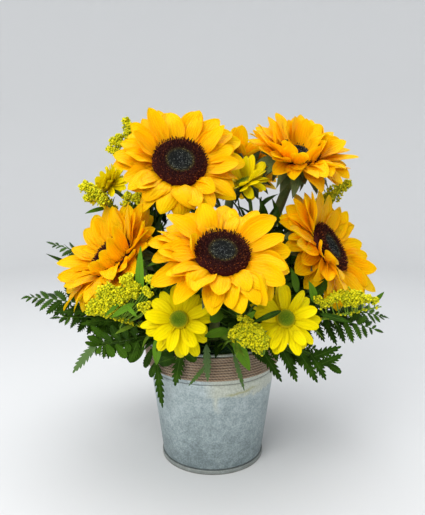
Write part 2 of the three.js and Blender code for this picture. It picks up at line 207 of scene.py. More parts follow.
# %% Blades
def blades(share, outline, length, width, lift=0.0, curl=0.0, bend=1.0, cup=0.0, roll=0.0, twist=0.0,
           groove=0.0, ribs=2, ripple=0.0, sweep=0.0, thickness=0.35, across=7, tint=0.5, sway=0.0):
    """Closed thin blades in their own frame, x outwards, y across and z up, one for each given length.

    The midrib's slope is lift plus curl times share to the power bend, in radians, and the midrib is the
    running sum of its steps. A point sits half a width times the outline to the side. It is raised by cup
    times the square of its place across, by cosine ribs, and by a ripple that grows towards the edge, and
    it is pushed forwards by sweep, which turns plain teeth into a saw's. sway bends the whole blade sideways.
    """
    numbers = (length, width, lift, curl, cup, roll, twist, ripple, tint, sway)
    given = np.broadcast_arrays(*map(np.atleast_1d, numbers))
    length, width, lift, curl, cup, roll, twist, ripple, tint, sway = (value[:, None] for value in given)
    slope = lift + curl * share**bend
    step = np.diff(share) * length
    middle = (slope[:, 1:] + slope[:, :-1]) / 2
    start = np.zeros((len(length), 1))
    rib_x = np.concatenate([start, np.cumsum(step * np.cos(middle), 1)], 1)
    rib_z = np.concatenate([start, np.cumsum(step * np.sin(middle), 1)], 1)
    place = np.cos(np.linspace(0, np.pi, across))
    ring = np.concatenate([place, place[-2:0:-1]])
    face = np.concatenate([np.ones(across), -np.ones(across - 2)]) * np.sqrt(np.maximum(0, 1 - ring**2))
    half = (width / 2 * outline)[..., None]
    turn = (roll + twist * share)[..., None]
    wave = np.sin(9 * share[:, None] + 40 * tint[..., None] + 2 * ring)
    high = cup[..., None] * half * ring**2 + groove * outline[:, None] * np.cos(ribs * np.pi * ring)
    high = high + ripple[..., None] * half * wave * abs(ring)
    high = high + thickness / 2 * face * (0.3 + 0.7 * outline[:, None])
    side = half * ring * np.cos(turn) - high * np.sin(turn) + (sway * length * share**2)[..., None]
    rise = half * ring * np.sin(turn) + high * np.cos(turn)
    forward = sweep * half * abs(ring)
    cos, sin = np.cos(slope)[..., None], np.sin(slope)[..., None]
    rings = np.stack([rib_x[..., None] + forward * cos - rise * sin, side,
                      rib_z[..., None] + forward * sin + rise * cos], -1)
    values = {"along": share[None, :, None], "across": ring, "tint": tint[..., None],
              "under": np.concatenate([np.zeros(across), np.ones(across - 2)])}
    return rings, values


def crowded(count, crowd=0.35):
    """Shares from 0 to 1 that stand closer together towards the tip."""
    t = np.linspace(0, 1, count)
    return t * (1 + crowd - crowd * t)


print("blade helpers ready")

# %% [markdown]
# ## Reading the construction
# A plain solid tells where its detailed piece goes. A flower's disc has one large flat back, whose middle and
# facing give the head's own frame. A stalk was made of rings of six corners at even steps of a cubic curve,
# so walking from its foot along the edges, one ring at a time, gives back the curve.

# %% Measure the plain solids
RING_CORNERS = 6  # corners of each ring of a plain stalk, frond or spray
STALK_STEPS = 8  # even steps from the first to the last ring of a plain stalk's curve


def cad_mesh(node):
    """A node's corner points in millimetres, merged, and its triangles."""
    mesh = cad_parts[node].data
    corners = np.empty(3 * len(mesh.vertices))
    mesh.vertices.foreach_get("co", corners)
    triangles = np.empty(3 * len(mesh.polygons), int)
    mesh.polygons.foreach_get("vertices", triangles)
    corners = corners.reshape(-1, 3) / MM
    _, first, index = np.unique(np.round(corners, 2), axis=0, return_index=True, return_inverse=True)
    return corners[first], index.ravel()[triangles].reshape(-1, 3)


def from_axis(node):
    """How far each corner of a node stands from the bucket's upright axis."""
    return np.linalg.norm(cad_mesh(node)[0][:, :2], axis=1)


def head_frame(node, back_height):
    """A head's middle, its axes (right, up, facing) as rows, and the radius of its disc.

    back_height is how far the disc's flat back stands in front of the plane that the petals grow from.
    """
    points, triangles = cad_mesh(node)
    a, b, c = (points[triangles[:, i]] for i in range(3))
    cross = np.cross(b - a, c - a)
    area = np.linalg.norm(cross, axis=1)
    _, kind = np.unique(np.round(unit(cross), 2), axis=0, return_inverse=True)
    flat = kind.ravel() == np.argmax(np.bincount(kind.ravel(), area))
    facing = -unit(cross[flat].sum(0))
    middle = np.average((a + b + c)[flat] / 3, axis=0, weights=area[flat])
    radius = np.linalg.norm(a[flat] - middle, axis=1).max()
    right = unit(np.cross((0, 0, 1), facing))
    return middle - back_height * facing, np.array([right, np.cross(facing, right), facing]), radius


def rings_of(node):
    """The rings of a stalk as (rings, 6, 3), found one after another from its foot along the edges."""
    points, triangles = cad_mesh(node)
    pairs = np.concatenate([triangles[:, [0, 1]], triangles[:, [1, 2]], triangles[:, [2, 0]]])
    inside_bucket = np.array([0, 0, 60])
    level = np.argsort(np.linalg.norm(points - inside_bucket, axis=1))[:RING_CORNERS]
    seen = np.zeros(len(points), bool)
    rings = []
    while len(level) == RING_CORNERS:
        seen[level] = True
        rings.append(points[level])
        linked = np.unique(pairs[np.isin(pairs[:, 0], level), 1])
        level = linked[~seen[linked]]
    return np.array(rings)


def centre_line(shares, centres):
    """The cubic curve through ring centres at known shares, as a function of share."""
    powers = [np.polyfit(shares, centres[:, axis], 3) for axis in range(3)]
    return lambda share: np.stack([np.polyval(power, share) for power in powers], -1)


def stalk_line(node):
    """A stalk's curve from its first rings, which stand at even steps of the curve."""
    centres = rings_of(node).mean(1)
    return centre_line(np.arange(len(centres)) / STALK_STEPS, centres)


print("first sunflower's disc:", head_frame("sunflower_1_disc", 0)[0].round(1))
print("its stem's top:", stalk_line("sunflower_1_stem")(1.0).round(1))

# %% [markdown]
# ## Finishes
# Every finish is worked out from nodes, so it needs no picture. A small helper keeps each recipe short.
# Patterns that belong to a whole piece read Object coordinates in metres. Patterns that follow a petal or a
# strand read the numbers its points carry: along, across, tint and under.


# %% A helper for wiring finishes
class Finish:
    """One Principled shader and the nodes that feed it. Fixed numbers sit on the shader's own sockets."""

    def __init__(self, name, constants):
        self.material = bpy.data.materials.new(name)
        self.material.use_nodes = True
        self.tree = self.material.node_tree
        self.shader = next(node for node in self.tree.nodes if node.type == "BSDF_PRINCIPLED")
        self.place = self.add("TexCoord").outputs["Object"]
        for socket, value in constants.items():
            self.shader.inputs[socket].default_value = value

    def add(self, kind, inputs=(), **settings):
        """Makes a node: inputs are numbers or other nodes' outputs by socket, settings are its own fields."""
        node = self.tree.nodes.new("ShaderNode" + kind)
        for setting, value in settings.items():
            setattr(node, setting, value)
        for socket, value in dict(inputs).items():
            self.join(node.inputs[socket], value)
        return node

    def join(self, socket, value):
        """Feeds a socket from another node's output, or sets it to a fixed value."""
        if isinstance(value, bpy.types.NodeSocket):
            self.tree.links.new(value, socket)
        else:
            socket.default_value = value

    def carried(self, name):
        """A number that the points carry, by the name that skin was given."""
        return self.add("Attribute", attribute_name=name).outputs["Fac"]

    def math(self, operation, a, b=0.0, c=0.0):
        """One sum by its operation's name."""
        return self.add("Math", {0: a, 1: b, 2: c}, operation=operation).outputs[0]

    def grain(self, size, detail, stretch=(1, 1, 1), seed=0.0):
        """Noise whose patches are about size millimetres across, between 0 and 1."""
        mapping = self.add("Mapping", {0: self.place, "Scale": stretch, "Location": (seed, seed, seed)})
        inputs = {"Vector": mapping.outputs[0], "Scale": 1 / (size * MM), "Detail": detail}
        return self.add("TexNoise", inputs).outputs[0]

    def rising(self, value, low, high):
        """0 below low, 1 above high, and even in between."""
        return self.add("MapRange", {0: value, 1: low, 2: high}).outputs[0]

    def near(self, value, middle, half):
        """1 where a value is at the middle, fading to 0 half away on either side."""
        away = self.math("ABSOLUTE", self.math("SUBTRACT", value, middle))
        return self.rising(away, half, 0.0)

    def times(self, a, b):
        """a times b."""
        return self.math("MULTIPLY", a, b)

    def scaled(self, value, factor, more):
        """A value times a factor, plus more."""
        return self.math("MULTIPLY_ADD", value, factor, more)

    def ramp(self, value, *stops):
        """A colour chosen by a value: each stop is where it stands and its red, green and blue."""
        node = self.add("ValToRGB", {0: value})
        elements = node.color_ramp.elements
        while len(elements) < len(stops):
            elements.new(0.5)
        for element, (position, colour) in zip(elements, stops):
            element.position = position
            element.color = (*colour, 1)
        return node.outputs[0]

    def level(self, value, *stops):
        """A share chosen by a value: each stop is where it stands and its share, as a grey of the ramp."""
        return self.ramp(value, *((position, (grey, grey, grey)) for position, grey in stops))

    def mix(self, share, a, b):
        """Colour a where the share is 0 and colour b where it is 1."""
        a, b = ((*value, 1) if isinstance(value, tuple) else value for value in (a, b))
        return self.add("Mix", {0: share, 6: a, 7: b}, data_type="RGBA").outputs[2]

    def wear(self, colour, roughness, height, bump):
        """Joins a colour, a roughness if there is one, and a height in millimetres times bump."""
        self.join(self.shader.inputs["Base Color"], colour)
        if roughness is not None:
            self.join(self.shader.inputs["Roughness"], roughness)
        relief = self.add("Bump", {"Strength": 1.0, "Distance": bump * MM, "Height": height})
        self.join(self.shader.inputs["Normal"], relief.outputs[0])
        return self.material


print("finish helper ready")

# %% [markdown]
# ## Light and floor
# Fresh flowers are sold against a plain pale sweep of card under soft daylight. A wide dish, flat in the
# middle and bent up all round, gives a floor and a background with no line between them from any side. One
# broad lamp above the front left makes the gentle shade on the right of each petal. A second one overhead and
# the open sky above the dish fill the rest.

# %% Floor dish
DISH = {"flat": 1050, "bend": 520, "top": 1250, "sides": 96}
bend_angle = np.linspace(0, np.pi / 2, 20)
dish_radius = np.concatenate([[1.0, 300], DISH["flat"] + DISH["bend"] * np.sin(bend_angle),
                              [DISH["flat"] + DISH["bend"]]])
dish_height = np.concatenate([[0.0, 0.0], DISH["bend"] * (1 - np.cos(bend_angle)), [DISH["top"]]])
dish_turn = 2 * np.pi * np.arange(DISH["sides"]) / DISH["sides"]
sheet = np.stack(np.broadcast_arrays(dish_radius * np.cos(dish_turn)[:, None],
                                     dish_radius * np.sin(dish_turn)[:, None], dish_height), -1) * MM
index = np.arange(sheet.shape[0] * sheet.shape[1]).reshape(sheet.shape[:2])
beyond = np.roll(index, -1, 0)
faces = np.stack([index[:, :-1], index[:, 1:], beyond[:, 1:], beyond[:, :-1]], -1).reshape(-1, 4)
dish_mesh = bpy.data.meshes.new("floor_dish")
dish_mesh.from_pydata(sheet.reshape(-1, 3).tolist(), [], faces.tolist() + [index[::-1, 0].tolist()])
dish_mesh.polygons.foreach_set("use_smooth", np.ones(len(faces) + 1, bool))
card = Finish("pale_card", {"Roughness": 0.9, "Specular IOR Level": 0.1,
                            "Base Color": (0.66, 0.668, 0.675, 1)})
dish_mesh.materials.append(card.material)
floor_dish = bpy.data.objects.new("floor_dish", dish_mesh)
bpy.context.scene.collection.objects.link(floor_dish)
print("floor dish", len(faces), "faces")


# %% Lamps and surroundings
def soft_lamp(name, place, target, size, watts, colour=(1, 1, 1)):
    """A square lamp, millimetres away and across, that looks at a target."""
    data = bpy.data.lights.new(name, "AREA")
    data.shape = "SQUARE"
    data.size = size * MM
    data.energy = watts
    data.color = colour
    lamp = bpy.data.objects.new(name, data)
    back = unit(np.array(place, float) - target)
    right = unit(np.cross((0, 0, 1), back))
    for row in range(3):
        lamp.matrix_world[row][0:4] = (right[row], np.cross(back, right)[row], back[row], place[row] * MM)
    bpy.context.scene.collection.objects.link(lamp)


soft_lamp("window", (-500, -930, 900), (0, 0, 190), 760, 12.6, (1, 0.99, 0.97))
soft_lamp("ceiling", (60, -40, 1200), (0, 0, 120), 1000, 7.0)
surroundings = bpy.data.worlds.new("surroundings")
surroundings.use_nodes = True
backdrop = surroundings.node_tree.nodes["Background"]
backdrop.inputs["Color"].default_value = (0.95, 0.97, 1.0, 1)
backdrop.inputs["Strength"].default_value = 0.8
bpy.context.scene.world = surroundings
print("lamps ready")

# %% [markdown]
# ## Bucket
# The bucket is rolled galvanized sheet: a tapering wall with a wired rim, one pressed ring, a lapped side
# seam and a folded hoop at the foot. A profile turned on a lathe gives the wall, the hoop and the floor, so
# each is one row of radius and height, and the seam is a low strip up the back. Points crowd together where
# the sheet bends, so the light rolls over it. The zinc is fine-grained and cloudy, with painted light that
# makes it lighter towards the top, and it has a creamy bloom and a rusty yellow run just under the rope.
# Those marks have places, measured from the pressed ring.

# %% Measure the bucket
BUCKET = {"sheet": 0.8, "bead": 1.5, "groove_half": 1.5, "groove_depth": 0.9, "sides": 144}
wall_low, wall_high = (np.array(corner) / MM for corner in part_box("bucket_body"))
_, hoop_high = (np.array(corner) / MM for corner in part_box("foot_hoop"))
base_low, base_high = (np.array(corner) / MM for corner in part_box("bucket_base"))
rope_low, rope_high = (np.array(corner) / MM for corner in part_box("rope_wrap"))
neck_height = wall_high[2] - 2 * BUCKET["bead"]
wall_heights, wall_reach = cad_mesh("bucket_body")[0][:, 2], from_axis("bucket_body")
foot_radius = wall_reach[wall_heights < wall_low[2] + 0.1].max()
neck_radius = wall_reach[abs(wall_heights - neck_height) < 0.05].max()
slant = (neck_radius - foot_radius) / (neck_height - wall_low[2])
groove_height = np.median(wall_heights[(wall_heights > 60) & (wall_heights < 100)])
print("foot radius", foot_radius.round(2), "taper", slant.round(4), "groove at", groove_height.round(1))

# %% Galvanized finish
# Marks on the sheet, in millimetres: aside is from the middle of the front, heights are from the pressed
# ring, and front is from the middle, less than zero being forwards. A pair says where a mark begins to show
# and where it is full.
BLOOM = {"height": (-14.5, -11), "aside": (-6.0, 3.0), "front": (5.0, -12.0), "share": 0.78}
RUN = {"height": (-30, -16), "aside": 4.0, "half": 4.5, "front": (0.0, -12.0)}
STAIN = {"height": -12.0, "half": 2.6, "climb": -0.13, "left": (9.0, 17.0), "right": (44.0, 32.0),
         "front": (0.0, -8.0), "share": 0.75}


def from_ring(heights):
    """Heights from the pressed ring, as heights from the floor."""
    return [groove_height + height for height in heights]


zinc = Finish("galvanized_sheet", {"Metallic": 0.42, "Specular IOR Level": 0.45})
where = zinc.add("SeparateXYZ", {0: zinc.place})
aside, front, tall = (zinc.times(where.outputs[axis], 1000.0) for axis in range(3))
cloud = zinc.grain(24, 4.0)
middling = zinc.grain(6, 3.0, seed=0.4)
fine = zinc.grain(1.5, 3.0, seed=0.7)
# Painted light: the sheet is painted lighter from the hoop up to the pressed ring. The cloudy, middling and
# fine grain below is the zinc's own.
tone_and_painted_light = zinc.scaled(zinc.rising(tall, hoop_high[2], groove_height), 0.46, 0.10)
tone_and_painted_light = zinc.scaled(middling, 0.66, zinc.scaled(cloud, 0.50, tone_and_painted_light))
tone_and_painted_light = zinc.scaled(fine, 0.95, zinc.math("SUBTRACT", tone_and_painted_light, 1.055))
sheet_colour = zinc.ramp(tone_and_painted_light, (0.0, (0.17, 0.215, 0.225)), (0.35, (0.30, 0.365, 0.375)),
                         (0.7, (0.46, 0.53, 0.54)), (1.0, (0.60, 0.66, 0.66)))

wander = zinc.scaled(middling, 14.0, -7.0)
drifted = zinc.math("ADD", aside, zinc.scaled(cloud, 16.0, -8.0))
bloom = zinc.times(zinc.rising(zinc.math("ADD", tall, wander), *from_ring(BLOOM["height"])),
                   zinc.rising(drifted, *BLOOM["aside"]))
bloom = zinc.times(bloom, zinc.rising(front, *BLOOM["front"]))
run = zinc.times(zinc.near(drifted, RUN["aside"], RUN["half"]), zinc.rising(tall, *from_ring(RUN["height"])))
bloom = zinc.math("MAXIMUM", bloom, zinc.times(run, zinc.rising(front, *RUN["front"])))
sheet_colour = zinc.mix(zinc.times(bloom, BLOOM["share"]), sheet_colour,
                        zinc.ramp(fine, (0.3, (0.42, 0.44, 0.35)), (0.7, (0.62, 0.64, 0.54))))

climbing = zinc.scaled(aside, STAIN["climb"], zinc.math("ADD", tall, zinc.times(wander, 0.5)))
stain = zinc.times(zinc.near(climbing, groove_height + STAIN["height"], STAIN["half"]),
                   zinc.rising(aside, *STAIN["left"]))
stain = zinc.times(stain, zinc.times(zinc.rising(aside, *STAIN["right"]),
                                     zinc.rising(front, *STAIN["front"])))
sheet_colour = zinc.mix(zinc.times(stain, STAIN["share"]), sheet_colour, (0.33, 0.33, 0.14))

# Painted shade: a dark line in the pressed ring, another in the crease above the hoop, and a painted contact
# shadow under the foot. The real dark specks share the same near-black colour.
painted_shade = zinc.math("MAXIMUM", zinc.near(tall, groove_height, 0.8), zinc.near(tall, hoop_high[2] + 0.7, 1.0))
painted_shade = zinc.times(zinc.math("MAXIMUM", painted_shade, zinc.rising(tall, 1.1, 0.5)), 0.7)
specks = zinc.rising(zinc.grain(2.4, 2.0, seed=0.9), 0.76, 0.79)
sheet_colour = zinc.mix(zinc.math("MAXIMUM", painted_shade, specks), sheet_colour, (0.055, 0.055, 0.05))
hoop_tan = zinc.rising(tall, hoop_high[2] + 0.1, hoop_high[2] - 0.1)
sheet_colour = zinc.mix(zinc.times(hoop_tan, 0.45), sheet_colour, (0.30, 0.29, 0.245))
galvanized = zinc.wear(sheet_colour, zinc.scaled(cloud, 0.25, 0.38), zinc.scaled(fine, 0.6, middling), 0.14)
print("galvanized finish ready")

# %% Wall of the bucket
SEAM = {"turn": math.radians(118), "half": 3.2, "rise": 0.55, "sunk": 0.3, "across": 7, "stations": 40}


def wall_radius(height):
    """Outside radius of the sheet: a straight taper from the foot."""
    return foot_radius + slant * (np.asarray(height, float) - wall_low[2])


def pressed_radius(height):
    """Outside radius with the pressed ring taken off it, a bell curve of the height."""
    bell = np.exp(-((height - groove_height) / BUCKET["groove_half"]) ** 2 * 2)
    return wall_radius(height) - BUCKET["groove_depth"] * bell


heights = np.concatenate([np.linspace(wall_low[2], groove_height - 3, 22),
                          np.linspace(groove_height - 2.4, groove_height + 2.4, 13),
                          np.linspace(groove_height + 3, neck_height, 10)])
outer_wall = np.stack([pressed_radius(heights), heights], 1)
inner_wall = outer_wall[::-1] - [BUCKET["sheet"], 0]
bead_angle = np.radians(np.linspace(-75, 190, 15))
bead_height = wall_high[2] - BUCKET["bead"]
bead_middle = wall_radius(bead_height) + 0.4 * BUCKET["bead"]
bead_curve = np.stack([bead_middle + BUCKET["bead"] * np.cos(bead_angle),
                       bead_height + BUCKET["bead"] * np.sin(bead_angle)], 1)
wall = turned(np.concatenate([outer_wall, bead_curve, inner_wall]), BUCKET["sides"], closed=True)

# The lapped seam: a strip a little proud of the sheet, with rounded edges, that follows the pressed ring.
seam_heights = np.linspace(hoop_high[2] + 0.4, rope_low[2] - 1, SEAM["stations"])
seam_half = SEAM["half"] / foot_radius
seam_spread = np.linspace(-seam_half, seam_half, SEAM["across"])
seam_rise = SEAM["rise"] * np.sqrt(np.maximum(0, 1 - (seam_spread / seam_half) ** 6))
turn = SEAM["turn"] + np.concatenate([seam_spread, seam_spread[::-1]])
reach = pressed_radius(seam_heights)[:, None] + np.concatenate([np.full(SEAM["across"], -SEAM["sunk"]),
                                                                seam_rise[::-1]])
seam = np.stack(np.broadcast_arrays(reach * np.cos(turn), reach * np.sin(turn), seam_heights[:, None]), -1)
build("bucket_wall", [wall, skin(seam[None])], galvanized, ["bucket_body"])

# %% Hoop and floor of the bucket
SHEET = BUCKET["sheet"]
hoop_in, hoop_out = from_axis("foot_hoop").min(), from_axis("foot_hoop").max()
base_out = from_axis("bucket_base").max()
hoop_profile = [(hoop_in, 0.05), (hoop_out - 0.5, 0.0), (hoop_out - 0.1, 0.15), (hoop_out, 0.5),
                (hoop_out, hoop_high[2] - 0.5), (hoop_out - 0.15, hoop_high[2] - 0.1),
                (hoop_out - 0.4, hoop_high[2]), (hoop_out - 0.75, hoop_high[2] - 0.1),
                (hoop_out - SHEET, hoop_high[2] - 0.5), (hoop_out - SHEET, SHEET), (hoop_in, SHEET)]
build("bucket_foot_hoop", [turned(hoop_profile, BUCKET["sides"], closed=True)], galvanized,
      ["foot_hoop"])
base_profile = [(0.01, base_high[2] - SHEET), (base_out - 6, base_high[2] - SHEET),
                (base_out - 1.4, base_high[2] - 1), (base_out - SHEET, base_high[2] - 1.4),
                (base_out - SHEET, base_low[2]), (base_out, base_low[2]), (base_out, base_high[2] - 0.4),
                (base_out - 0.4, base_high[2]), (base_out - 6, base_high[2]), (0.01, base_high[2])]
build("bucket_floor", [turned(base_profile, BUCKET["sides"])], galvanized,
      ["bucket_base"])

# %% [markdown]
# ## Rope band
# Ten turns of three-ply jute are wound round the bucket's neck, the last one round its rolled rim. A real
# rope's plies show as slanted lobes, so the strand is one helix whose cross-section has three lobes that turn
# as it goes. Separate plies would need three times the faces for the same look. Stray fibres stand out from
# it, as jute always sheds.

# %% Jute finish
jute = Finish("jute", {"Roughness": 0.95, "Specular IOR Level": 0.12, "Sheen Weight": 0.25,
                       "Sheen Roughness": 0.5})
fibre = jute.grain(0.5, 3.0, seed=0.2)
jute_colour = jute.ramp(fibre, (0.3, (0.27, 0.185, 0.115)), (0.5, (0.48, 0.355, 0.235)),
                        (0.72, (0.76, 0.62, 0.45)))
jute_colour = jute.mix(jute.level(jute.grain(9, 3.0), (0.4, 0), (0.65, 0.5)), jute_colour, (0.42, 0.28, 0.17))
# Painted shade in the hollows between the plies.
jute_colour = jute.mix(jute.times(jute.carried("hollow"), 0.62), jute_colour, (0.12, 0.07, 0.045))
# Painted shade on the side of the strand that lies against the wall and the next turns.
jute_colour = jute.mix(jute.times(jute.carried("buried"), 0.9), jute_colour, (0.05, 0.030, 0.018))
jute_rope = jute.wear(jute_colour, None, jute.math("ADD", fibre, jute.grain(0.2, 2.0)), 0.35)
print("jute finish ready")

# %% The wound strand
ROPE = {"turns": 10, "lay": 9.5, "step": 1.1, "corners": 12, "start": math.radians(100), "tuck": 9}
rope_diameter = (rope_high[2] - rope_low[2]) / ROPE["turns"]
rope_length = ROPE["turns"] * 2 * np.pi * wall_radius((rope_low[2] + rope_high[2]) / 2)
count = int(rope_length / ROPE["step"])
travel = np.linspace(0, 1, count)
round_angle = ROPE["start"] + 2 * np.pi * (ROPE["turns"] - 1) * travel
strand_height = rope_low[2] + rope_diameter * (0.5 + (ROPE["turns"] - 1) * travel)
# At both ends the strand thins and sinks to the wall, where its tail is tucked in. Near the top it eases
# outwards, over the rolled rim.
tuck = np.minimum(1, np.minimum(travel, 1 - travel) * rope_length / ROPE["tuck"])
over_rim = np.clip((strand_height - (neck_height - 0.6 * rope_diameter)) / 2, 0, 1)
strand_out = wall_radius(strand_height) + 0.35 + 0.5 * rope_diameter * (0.45 + 0.55 * tuck) \
    + 1.4 * BUCKET["bead"] * over_rim**2 * (3 - 2 * over_rim)
strand_path = np.stack([strand_out * np.cos(round_angle), strand_out * np.sin(round_angle), strand_height], 1)
corner_angle = 2 * np.pi * np.arange(ROPE["corners"]) / ROPE["corners"]
lobe = np.cos(3 * (corner_angle - 2 * np.pi * (travel * rope_length / ROPE["lay"])[:, None]))
strand_radius = 0.5 * rope_diameter * (0.91 + 0.13 * lobe) * (0.55 + 0.45 * tuck[:, None])
# Each corner's share of painted shade: none where it faces outwards, most towards the wall and the
# neighbouring turns.
sunk = np.broadcast_to(1 - np.maximum(0, np.cos(corner_angle)) ** 0.6, lobe.shape)
strand = tube(strand_path, strand_radius, ROPE["corners"], hollow=(0.5 - 0.5 * lobe)[None], buried=sunk[None])
print("rope", round(rope_length), "mm long,", round(rope_diameter, 2), "mm thick")


# %% Small turned shapes, many at once
def spikes(bases, directions, lengths, widths, profile, corners, lobes=0.0, **values):
    """Small turned shapes on many places at once, such as fibres, florets and hairs.

    Each ring is the base, plus a share of the length along the direction, plus a factor of the half width
    around it. The profile is a row of shares and factors. lobes pushes every other corner in, for a star.
    """
    bases, directions = np.asarray(bases, float), unit(np.asarray(directions, float))
    helper = np.where(abs(directions[:, 2:]) < 0.9, [[0, 0, 1.0]], [[1.0, 0, 0]])
    first = unit(np.cross(directions, helper))
    second = np.cross(directions, first)
    angle = 2 * np.pi * np.arange(corners) / corners
    size = 1 - lobes * (np.arange(corners) % 2)
    aside, above = (size * np.cos(angle))[:, None], (size * np.sin(angle))[:, None]
    around = first[:, None] * aside + second[:, None] * above
    share, factor = np.array(profile, float).T
    up = directions[:, None, None] * (np.broadcast_to(lengths, len(bases))[:, None] * share)[..., None, None]
    out = around[:, None] * (np.broadcast_to(widths, len(bases))[:, None] * factor)[..., None, None]
    shaped = {key: np.asarray(value)[:, None, None] for key, value in values.items()}
    return skin(bases[:, None, None] + up + out, share=share[None, :, None], **shaped)


print("helper for fibres, florets and hairs ready")

# %% Stray fibres
FIBRES = {"count": 700, "length": (1.2, 4.2), "half": 0.07, "ends": 20}
rng = np.random.default_rng(11)
pick = rng.integers(FIBRES["ends"], count - FIBRES["ends"], FIBRES["count"])
run = frames_along(strand_path)[0]
outward = unit(strand_path * [1, 1, 0])
fibre_way = run[pick] * rng.uniform(-1, 1, (FIBRES["count"], 1)) \
    + outward[pick] * rng.uniform(0.15, 0.8, (FIBRES["count"], 1))
fibre_way[:, 2] += rng.normal(0, 0.35, FIBRES["count"])
fibre_base = strand_path[pick] + outward[pick] * 0.4 * rope_diameter
fuzz = spikes(fibre_base, fibre_way, rng.uniform(*FIBRES["length"], FIBRES["count"]), FIBRES["half"],
              [(0, 1), (1, 0.3)], 3)
build("rope_band", [strand, fuzz], jute_rope, ["rope_wrap"])

# %% [markdown]
# ## Sunflowers
# A sunflower's head is a disc of several hundred tiny florets inside two or three rows of broad ray petals,
# over a green cup of pointed bracts. The petals are blades set round the head's own frame, row by row, each
# with its own length, lift, curl and roll, so no two are alike. Petals that fold over the disc, arch down or
# shape a head's outline are listed one by one. The fifth head looks mostly upwards, and six petals that
# start inside its disc's edge close over the top of the disc. The row counts and angles are named for each
# head, and its place, facing and disc size are measured from its plain solids.

# %% Petal finish
petal = Finish("sunflower_petal", {"Roughness": 0.5, "Specular IOR Level": 0.28,
                                   "Specular Tint": (1.0, 0.55, 0.04, 1), "Subsurface Weight": 0.5,
                                   "Subsurface Radius": (1.0, 0.45, 0.04), "Subsurface Scale": 0.004})
vein = petal.math("SINE", petal.scaled(petal.carried("across"), 21.0, petal.times(petal.grain(7, 2.0), 5.0)))
petal_colour = petal.ramp(petal.carried("along"), (0.0, (0.80, 0.225, 0.001)), (0.2, (0.92, 0.340, 0.001)),
                          (0.55, (0.99, 0.430, 0.001)), (1.0, (1.0, 0.510, 0.001)))
petal_colour = petal.mix(petal.level(petal.carried("tint"), (0.0, 0), (1.0, 0.5)), petal_colour,
                         (0.93, 0.335, 0.001))
petal_colour = petal.mix(petal.level(vein, (0.15, 0), (1.0, 0.20)), petal_colour, (0.74, 0.235, 0.001))
petal_colour = petal.mix(petal.times(petal.carried("under"), 0.3), petal_colour, (0.95, 0.46, 0.004))
petal_height = petal.math("ADD", petal.times(vein, 0.5), petal.grain(1.2, 3.0))
sunflower_petal = petal.wear(petal_colour, None, petal_height, 0.16)
print("petal finish ready")

# %% Petals set round a head
PETAL_SHARE = crowded(15)
PETAL_OUTLINE = (0.42 + 0.58 * np.sin(np.pi / 2 * np.minimum(1, PETAL_SHARE / 0.55))) \
    * (1 - PETAL_SHARE**3.5) ** 0.70 + 0.012


def whorl(origin, axes, azimuth, radius, height, rings):
    """Blades stood round a head: each points along its azimuth, and starts at a radius and a height.

    The start is the middle, plus the radius times the azimuth's direction, plus the height times the facing.
    """
    right, up, facing = axes
    radial = np.cos(azimuth)[:, None] * right + np.sin(azimuth)[:, None] * up
    own_axes = np.stack([radial, np.cross(facing, radial), np.broadcast_to(facing, radial.shape)], 1)
    starts = origin + radial * np.asarray(radius)[..., None] + facing * np.asarray(height)[..., None]
    return placed(rings, starts, own_axes)


def petal_rows(rows, arch, lean, seed):
    """Lists of numbers for every petal in the rows of a head: a row is (count, lift, curl, length, width).

    arch is an azimuth and an amount: petals near that azimuth rise more steeply and then bend down more, by
    the squared cosine of their distance from it. lean is an azimuth, the degrees by which petals on
    that side stand higher and those on the far side lower, and the degrees by which those between turn away.
    """
    rng = np.random.default_rng(seed)
    listed = []
    for level, (count, lift, curl, length, width) in enumerate(rows):
        azimuth = 2 * np.pi * (np.arange(count) + 0.5 * level + rng.uniform(-0.36, 0.36, count)) / count
        near = np.maximum(0, np.cos(azimuth - math.radians(arch[0]))) ** 2 * arch[1]
        leaning = azimuth - math.radians(lean[0])
        numbers = {
            "azimuth": azimuth,
            "height": np.full(count, 0.5 + 0.75 * level) + rng.uniform(-0.2, 0.2, count),
            "length": length * (1 - 0.08 * near) * rng.uniform(0.80, 1.08, count),
            "width": width * rng.uniform(0.82, 1.15, count),
            "lift": np.radians(lift + lean[1] * np.cos(leaning) + 26 * near + rng.normal(0, 8, count)),
            "curl": np.radians(curl - 62 * near + rng.normal(0, 19, count)),
            "cup": 0.20 - 0.42 * near + rng.uniform(-0.2, 0.2, count),
            "roll": np.radians(6 - lean[2] * np.sin(leaning) + rng.normal(0, 8, count)),
            "twist": np.radians(rng.normal(0, 17, count)),
            "ripple": rng.uniform(0.05, 0.18, count),
            "tint": rng.uniform(0, 1, count),
            "sway": rng.normal(0, 0.09, count),
        }
        listed.append(np.stack(list(numbers.values())))
    return dict(zip(numbers, np.concatenate(listed, 1)))


def listed_petals(folds, height, seed):
    """The petals listed one by one: (azimuth, lift, curl, length, width, cup), angles in degrees."""
    rng = np.random.default_rng(seed)
    azimuth, lift, curl, length, width, cup = np.array(folds, float).T
    count = len(azimuth)
    return {"azimuth": np.radians(azimuth), "height": height, "length": length, "width": width,
            "lift": np.radians(lift), "curl": np.radians(curl), "cup": cup,
            "roll": np.radians(rng.normal(0, 8, count)), "twist": np.radians(rng.normal(0, 18, count)),
            "ripple": rng.uniform(0.04, 0.14, count), "tint": rng.uniform(0, 1, count),
            "sway": rng.normal(0, 0.07, count)}


print("petals: stations", len(PETAL_SHARE), "widest at", PETAL_SHARE[np.argmax(PETAL_OUTLINE)].round(2))

